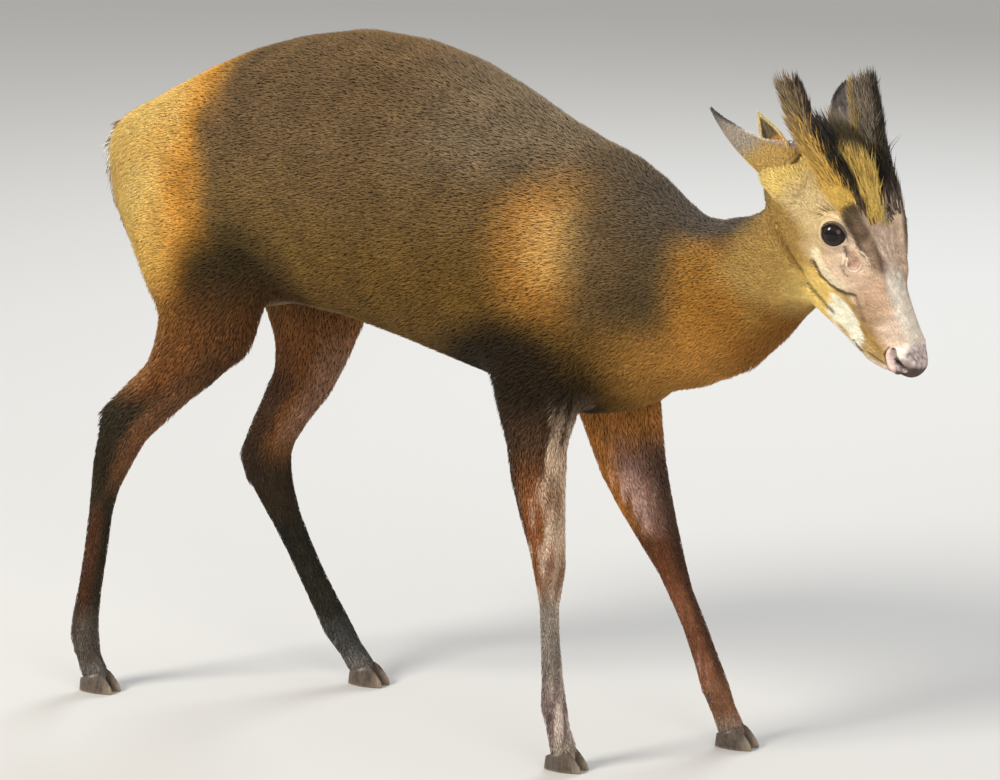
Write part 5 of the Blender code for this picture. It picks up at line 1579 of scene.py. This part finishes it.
def tone_material(name, roughness, specular, grain, grain_scale, bump, stretch=(1, 1, 1)):
    """Colour from the painted tone, coat marks and painted light and shade alike, with a fine grain over it,
    and a bump of the same grain.
    """
    material, nodes, links = new_material(name)
    shader = nodes["Principled BSDF"]
    set_inputs(shader, Roughness=roughness, Specular_IOR_Level=specular)
    tone = nodes.new("ShaderNodeAttribute")
    tone.attribute_name = "tone"
    place = nodes.new("ShaderNodeTexCoord")
    mapping = nodes.new("ShaderNodeMapping")
    set_inputs(mapping, Scale=stretch)
    noise = nodes.new("ShaderNodeTexNoise")
    set_inputs(noise, Scale=grain_scale, Detail=4.0)
    spread = nodes.new("ShaderNodeMapRange")
    set_inputs(spread, From_Min=0.3, From_Max=0.7, To_Min=1 - grain, To_Max=1 + grain)
    scale = nodes.new("ShaderNodeVectorMath")
    scale.operation = "SCALE"
    for output, node, entry in (
        (place.outputs["Object"], mapping, "Vector"), (mapping.outputs["Vector"], noise, "Vector"),
        (noise.outputs["Fac"], spread, "Value"), (tone.outputs["Color"], scale, 0),
        (spread.outputs["Result"], scale, "Scale"), (scale.outputs["Vector"], shader, "Base Color"),
    ):
        links.new(output, node.inputs[entry])
    if bump:
        relief = nodes.new("ShaderNodeBump")
        set_inputs(relief, Distance=bump, Strength=0.6)
        links.new(noise.outputs["Fac"], relief.inputs["Height"])
        links.new(relief.outputs["Normal"], shader.inputs["Normal"])
    return material


def finish_piece(item, tones, material, shift=True):
    if shift:
        item.data.transform(Matrix.Translation(SHIFT))
    add_tone(item.data, np.clip(tones, 0.002, 0.95))
    item.data.materials.clear()
    item.data.materials.append(material)
    item.data.shade_smooth()
    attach(item, "root")


# Stage, light and camera

FLOOR_HALF = 20.0
FLOOR_COLOURS = ((0.66, 0.66, 0.65, 1), (0.70, 0.70, 0.69, 1))
SKY_COLOUR = (1.0, 0.985, 0.965, 1)
SKY_STRENGTH = 0.50
# Name, place, aim, width in metres, power in watts, colour
LIGHTS = (
    ("key", (-1.6, -2.6, 2.6), (0.0, 0, 0.3), 1.3, 120, (1.0, 0.94, 0.84)),
    ("fill", (2.6, -2.0, 1.5), (0.2, 0, 0.3), 2.0, 26, (1.0, 0.97, 0.93)),
    ("rim", (-0.6, 2.4, 2.2), (0.0, 0, 0.35), 1.4, 40, (0.93, 0.96, 1.0)),
)
# Degrees, metres and millimetres, fitted to the photo
CAMERA_TURN = 31.18
CAMERA_HEIGHT = 1.092
CAMERA_AWAY = 3.8
CAMERA_DIP = 12.208
CAMERA_ASIDE = 0.081
CAMERA_LENS = 175.1


def make_floor():
    mesh = bpy.data.meshes.new("floor")
    size = FLOOR_HALF
    corners = [(-size, -size, 0), (size, -size, 0), (size, size, 0), (-size, size, 0)]
    mesh.from_pydata(corners, [], [(0, 1, 2, 3)])
    floor = make_object("floor", mesh)
    material, nodes, links = new_material("floor_pale")
    shader = nodes["Principled BSDF"]
    set_inputs(shader, Roughness=0.9)
    noise = nodes.new("ShaderNodeTexNoise")
    set_inputs(noise, Scale=3.0)
    ramp = nodes.new("ShaderNodeValToRGB")
    for element, colour in zip(ramp.color_ramp.elements, FLOOR_COLOURS):
        element.color = colour
    links.new(noise.outputs["Fac"], ramp.inputs["Fac"])
    links.new(ramp.outputs["Color"], shader.inputs["Base Color"])
    floor.data.materials.append(material)


def make_light(name, place, aim, size, power, colour):
    data = bpy.data.lights.new(name, "AREA")
    data.shape = "DISK"
    data.size = size
    data.energy = power
    data.color = colour
    item = make_object(name, data)
    item.location = Vector(place)
    item.rotation_euler = (Vector(aim) - Vector(place)).to_track_quat("-Z", "Y").to_euler()


def light_scene():
    world = bpy.data.worlds.new("studio")
    scene.world = world
    world.use_nodes = True
    set_inputs(world.node_tree.nodes["Background"], Color=SKY_COLOUR, Strength=SKY_STRENGTH)
    for light in LIGHTS:
        make_light(*light)


def make_camera():
    turn = math.radians(CAMERA_TURN)
    dip = math.radians(CAMERA_DIP)
    back = Vector((math.sin(turn), -math.cos(turn), 0))
    right = Vector((math.cos(turn), math.sin(turn), 0))
    ahead = -back * math.cos(dip) - Vector((0, 0, math.sin(dip)))
    data = bpy.data.cameras.new("camera")
    data.sensor_width = 36.0
    data.lens = CAMERA_LENS
    camera = make_object("camera", data)
    place = back * CAMERA_AWAY + Vector((0, 0, CAMERA_HEIGHT)) + right * CAMERA_ASIDE + SHIFT
    pose = Matrix((right, right.cross(ahead), -ahead)).transposed().to_4x4()
    camera.matrix_world = Matrix.Translation(place) @ pose
    scene.camera = camera


def build():
    scene.view_settings.view_transform = "Standard"
    make_camera()
    light_scene()
    make_floor()
    fur = tone_material("fur", 0.64, 0.18, 0.22, 900.0, 0.0)
    skin_material = tone_material("skin_under_coat", 0.72, 0.22, 0.30, 260.0, 0.0006, stretch=(0.28, 1, 1))
    lid_material = tone_material("lids", 0.38, 0.45, 0.12, 700.0, 0.0002)
    eye_material = tone_material("eye", 0.04, 0.32, 0.10, 500.0, 0.0)

    skin = make_skin()
    lay_paths(skin)
    surface = Surface(skin)
    tones = markings_and_painted_light(surface.points, surface.normals)
    finish_piece(skin, tones, skin_material)
    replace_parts(skin, "torso", "neck", "head", *["leg_" + name for name in LEGS])
    grow_coat(surface, fur)
    make_forehead(surface, fur)
    for label, side in (("right", -1), ("left", 1)):
        make_pedicle(label, side, fur, skin_material)
        make_ear(label, side, fur, lid_material)
        make_eyeball(label, side, eye_material)
        make_lids(label, side, lid_material)
        make_lashes(label, side, fur)
    make_tail(fur, skin_material)
    claw_material = tone_material("claw_horn", 0.40, 0.45, 0.28, 620.0, 0.00035, stretch=(1, 1, 0.14))
    for leg, (x, y) in CORONET.items():
        for spot, where in ((-1, "right"), (1, "left")):
            make_claw(f"claw_{leg}_{where}", x, y, spot, claw_material)
    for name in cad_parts:
        if name.startswith("dewclaw"):
            make_dewclaw(name, claw_material)


build()
